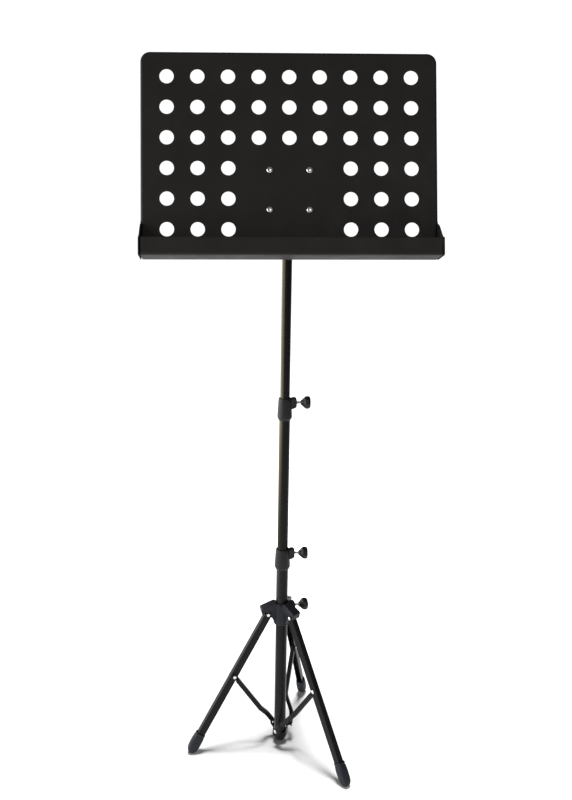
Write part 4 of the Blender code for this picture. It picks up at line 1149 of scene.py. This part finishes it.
def make_tilt_joint():
    """Washers, hex bolt and knob at the tilt pivot."""
    bore, outer = BOLT_R + GAP, 8.0 * MM
    ring = filleted([(bore, 0.0), (outer, 0.0), (outer, WASHER_H), (bore, WASHER_H)], 0.25 * MM, 3)
    axis = Matrix.Translation(TILT_SPOT)
    for side, start in (("left", -HEAD_TAB_HALF - GAP - WASHER_H), ("right", HEAD_TAB_HALF + GAP)):
        node = "tilt_washer_" + side
        spot = axis @ Matrix.Translation((start, 0, 0))
        add(node, "head", NYLON, at(spot, lathe_x(ring, 64)))
    outside = EAR_INNER + EAR_WALL + GAP
    knob_start = outside + 1.0 * MM
    corners = [
        (BOLT_HEAD_R * math.cos(math.radians(60 * i)), BOLT_HEAD_R * math.sin(math.radians(60 * i)))
        for i in range(6)
    ]
    bolt = mesh_object("tilt_bolt_fine", at(TILT, prism(corners, -outside - BOLT_HEAD_H, -outside, "X")))
    bevel(bolt, 0.45 * MM, 2)
    shank = threaded(BOLT_R, 2.0 * MM, knob_start + 9 * MM, -outside - 0.5 * MM)
    unite(bolt, at(TILT, shank))
    piece(bolt, "desk", "tilt_bolt", ZINC, sharp=40.0, weighted=False)
    add("tilt_knob", "tilt_knob", KNOB_PLASTIC, at(TILT, knob_shape(knob_start, BOLT_R + GAP)), **MOULDED)


# ---------------------------------------------------------------- stage, light and camera

CAMERA_SPOT = Vector((-0.10663, -1.53248, 1.13352))
CAMERA_PITCH, CAMERA_YAW, CAMERA_ROLL = math.radians(15.948), math.radians(-1.694), math.radians(0.268)
SENSOR, FRAME_LONG = 36.0, 800.0
FOCAL = 885.90 / FRAME_LONG * SENSOR
SHIFT_X, SHIFT_Y = 0.0447, 0.0054
FLOOR_HALF = 14
WHITE, WARM_WHITE, COOL_WHITE = (1.0, 1.0, 1.0), (1.0, 0.97, 0.92), (0.86, 0.93, 1.0)
YELLOW, PALE_WARM, PALE_BLUE = (1.0, 0.86, 0.42), (1.0, 0.97, 0.95), (0.82, 0.89, 1.0)


def make_camera():
    data = bpy.data.cameras.new("camera")
    data.sensor_width = SENSOR
    data.sensor_fit = "AUTO"
    data.lens = FOCAL
    data.shift_x, data.shift_y = SHIFT_X, SHIFT_Y
    data.clip_end = 100.0
    camera = bpy.data.objects.new("camera", data)
    upright = Matrix.Rotation(math.pi / 2 - CAMERA_PITCH, 4, "X")
    turn = Matrix.Rotation(CAMERA_YAW, 4, "Z") @ upright @ Matrix.Rotation(CAMERA_ROLL, 4, "Z")
    camera.matrix_world = Matrix.Translation(CAMERA_SPOT) @ turn
    bpy.context.scene.collection.objects.link(camera)
    bpy.context.scene.camera = camera


def area_light(name, spot, target, size, energy, colour):
    data = bpy.data.lights.new(name, "AREA")
    data.shape = "RECTANGLE"
    data.size, data.size_y = size
    data.energy = energy
    data.color = colour
    light = bpy.data.objects.new(name, data)
    light.location = spot
    light.rotation_euler = (Vector(target) - Vector(spot)).to_track_quat("-Z", "Y").to_euler()
    bpy.context.scene.collection.objects.link(light)
    return light


def make_floor():
    """A pale floor that glows more with distance, to run into the white backdrop.

    The glow is full to the camera and a fifth of that to other rays.
    """
    half = FLOOR_HALF
    corners = [(-half, -half, 0), (half, -half, 0), (half, half, 0), (-half, half, 0)]
    floor = mesh_object("floor", (corners, [[0, 1, 2, 3]]))
    made, nodes, links, shader = new_material("pale_floor")
    mottle = noise(nodes, links, 3.0, 2.0)
    pale = ramp(nodes, links, mottle, [(0.3, (0.59,) * 3), (0.7, (0.61,) * 3)])
    links.new(pale, shader.inputs["Base Color"])
    shader.inputs["Roughness"].default_value = 0.9
    shader.inputs["Specular IOR Level"].default_value = 0.1
    shader.inputs["Emission Color"].default_value = (1.0, 1.0, 1.0, 1.0)
    coords, length = nodes.new("ShaderNodeTexCoord"), nodes.new("ShaderNodeVectorMath")
    glow = nodes.new("ShaderNodeMapRange")
    length.operation = "LENGTH"
    glow.inputs["From Min"].default_value = 0.14
    glow.inputs["From Max"].default_value = 0.55
    glow.inputs["To Min"].default_value = 0.0
    glow.inputs["To Max"].default_value = 1.0
    links.new(coords.outputs["Object"], length.inputs[0])
    links.new(length.outputs["Value"], glow.inputs["Value"])
    path, seen = nodes.new("ShaderNodeLightPath"), nodes.new("ShaderNodeMapRange")
    seen.inputs["To Min"].default_value = 0.2
    links.new(path.outputs["Is Camera Ray"], seen.inputs["Value"])
    strength = nodes.new("ShaderNodeMath")
    strength.operation = "MULTIPLY"
    links.new(glow.outputs["Result"], strength.inputs[0])
    links.new(seen.outputs["Result"], strength.inputs[1])
    links.new(strength.outputs["Value"], shader.inputs["Emission Strength"])
    floor.data.materials.append(made)
    return floor


def make_world():
    """White to the camera, and a dim even light to everything else, as in a studio with a lit backdrop."""
    world = bpy.data.worlds.new("studio")
    world.use_nodes = True
    bpy.context.scene.world = world
    nodes, links = world.node_tree.nodes, world.node_tree.links
    seen, lit = nodes["Background"], nodes.new("ShaderNodeBackground")
    seen.inputs["Color"].default_value = (1.0, 1.0, 1.0, 1.0)
    seen.inputs["Strength"].default_value = 1.05
    lit.inputs["Color"].default_value = (0.92, 0.96, 1.0, 1.0)
    lit.inputs["Strength"].default_value = 0.14
    path, mix = nodes.new("ShaderNodeLightPath"), nodes.new("ShaderNodeMixShader")
    links.new(path.outputs["Is Camera Ray"], mix.inputs["Fac"])
    links.new(lit.outputs["Background"], mix.inputs[1])
    links.new(seen.outputs["Background"], mix.inputs[2])
    links.new(mix.outputs["Shader"], nodes["World Output"].inputs["Surface"])


def collection_of(name, starts, floor):
    """The stand's pieces whose names start so, for a light to shine on or be blocked by."""
    made = bpy.data.collections.new(name)
    for obj in bpy.context.scene.objects:
        if obj.type == "MESH" and obj != floor and obj.name.startswith(starts):
            made.objects.link(obj)
    return made


def make_lights(floor):
    """Six area lights. All but the front fill are linked, so that they light only chosen pieces.

    The panel lights the stand and not the floor. The yellowish strip lights the middle and upper tubes, the
    bluish one the lower tube, and the low fill the tripod. The overhead lights the floor alone, and only the
    tripod blocks it.
    """
    on_floor = bpy.data.collections.new("floor_only")
    on_floor.objects.link(floor)
    stand = collection_of("stand", ("",), floor)
    tubes = collection_of("upper_tubes", ("mid_tube", "upper_tube"), floor)
    low = ("leg_", "boot_", "brace_", "hub", "base_", "bottom_plug", "lower_tube")
    tripod = collection_of("low_pieces", low, floor)
    pole_foot = collection_of("pole_foot", ("lower_tube",), floor)
    lights = {}
    for name, spot, target, size, energy, colour, lit in (
        ("left_panel", (-1.35, 0.15, 0.95), (0.0, 0.15, 0.85), (3.0, 1.7), 62.0, WARM_WHITE, stand),
        ("warm_strip", (-1.2, 0.15, 0.75), (0.0, 0.15, 0.7), (2.6, 1.7), 75.0, YELLOW, tubes),
        ("cool_strip", (-0.9, 0.1, 0.35), (0.0, 0.1, 0.35), (1.8, 0.75), 75.0, COOL_WHITE, pole_foot),
        ("low_fill", (0.35, -2.0, 0.75), (0.0, 0.0, 0.2), (0.9, 0.6), 7.0, PALE_BLUE, tripod),
        ("front_fill", (0.7, -2.9, 2.3), (0.0, 0.0, 0.6), (1.4, 1.4), 13.0, PALE_WARM, None),
        ("overhead", (0.0, -0.02, 3.2), (0.0, -0.02, 0.0), (0.75, 0.75), 190.0, WHITE, on_floor),
    ):
        lights[name] = area_light(name, spot, target, size, energy, colour)
        if lit:
            lights[name].light_linking.receiver_collection = lit
    lights["overhead"].light_linking.blocker_collection = tripod


def main():
    make_camera()
    make_world()
    make_pole()
    make_hub()
    for side in SIDES:
        make_leg(side)
        make_brace(side)
    make_base_bracket()
    make_sheet()
    make_desk_rivets()
    make_bracket()
    make_head()
    make_tilt_joint()
    make_lights(make_floor())
    bpy.context.scene.view_settings.view_transform = "Standard"


main()
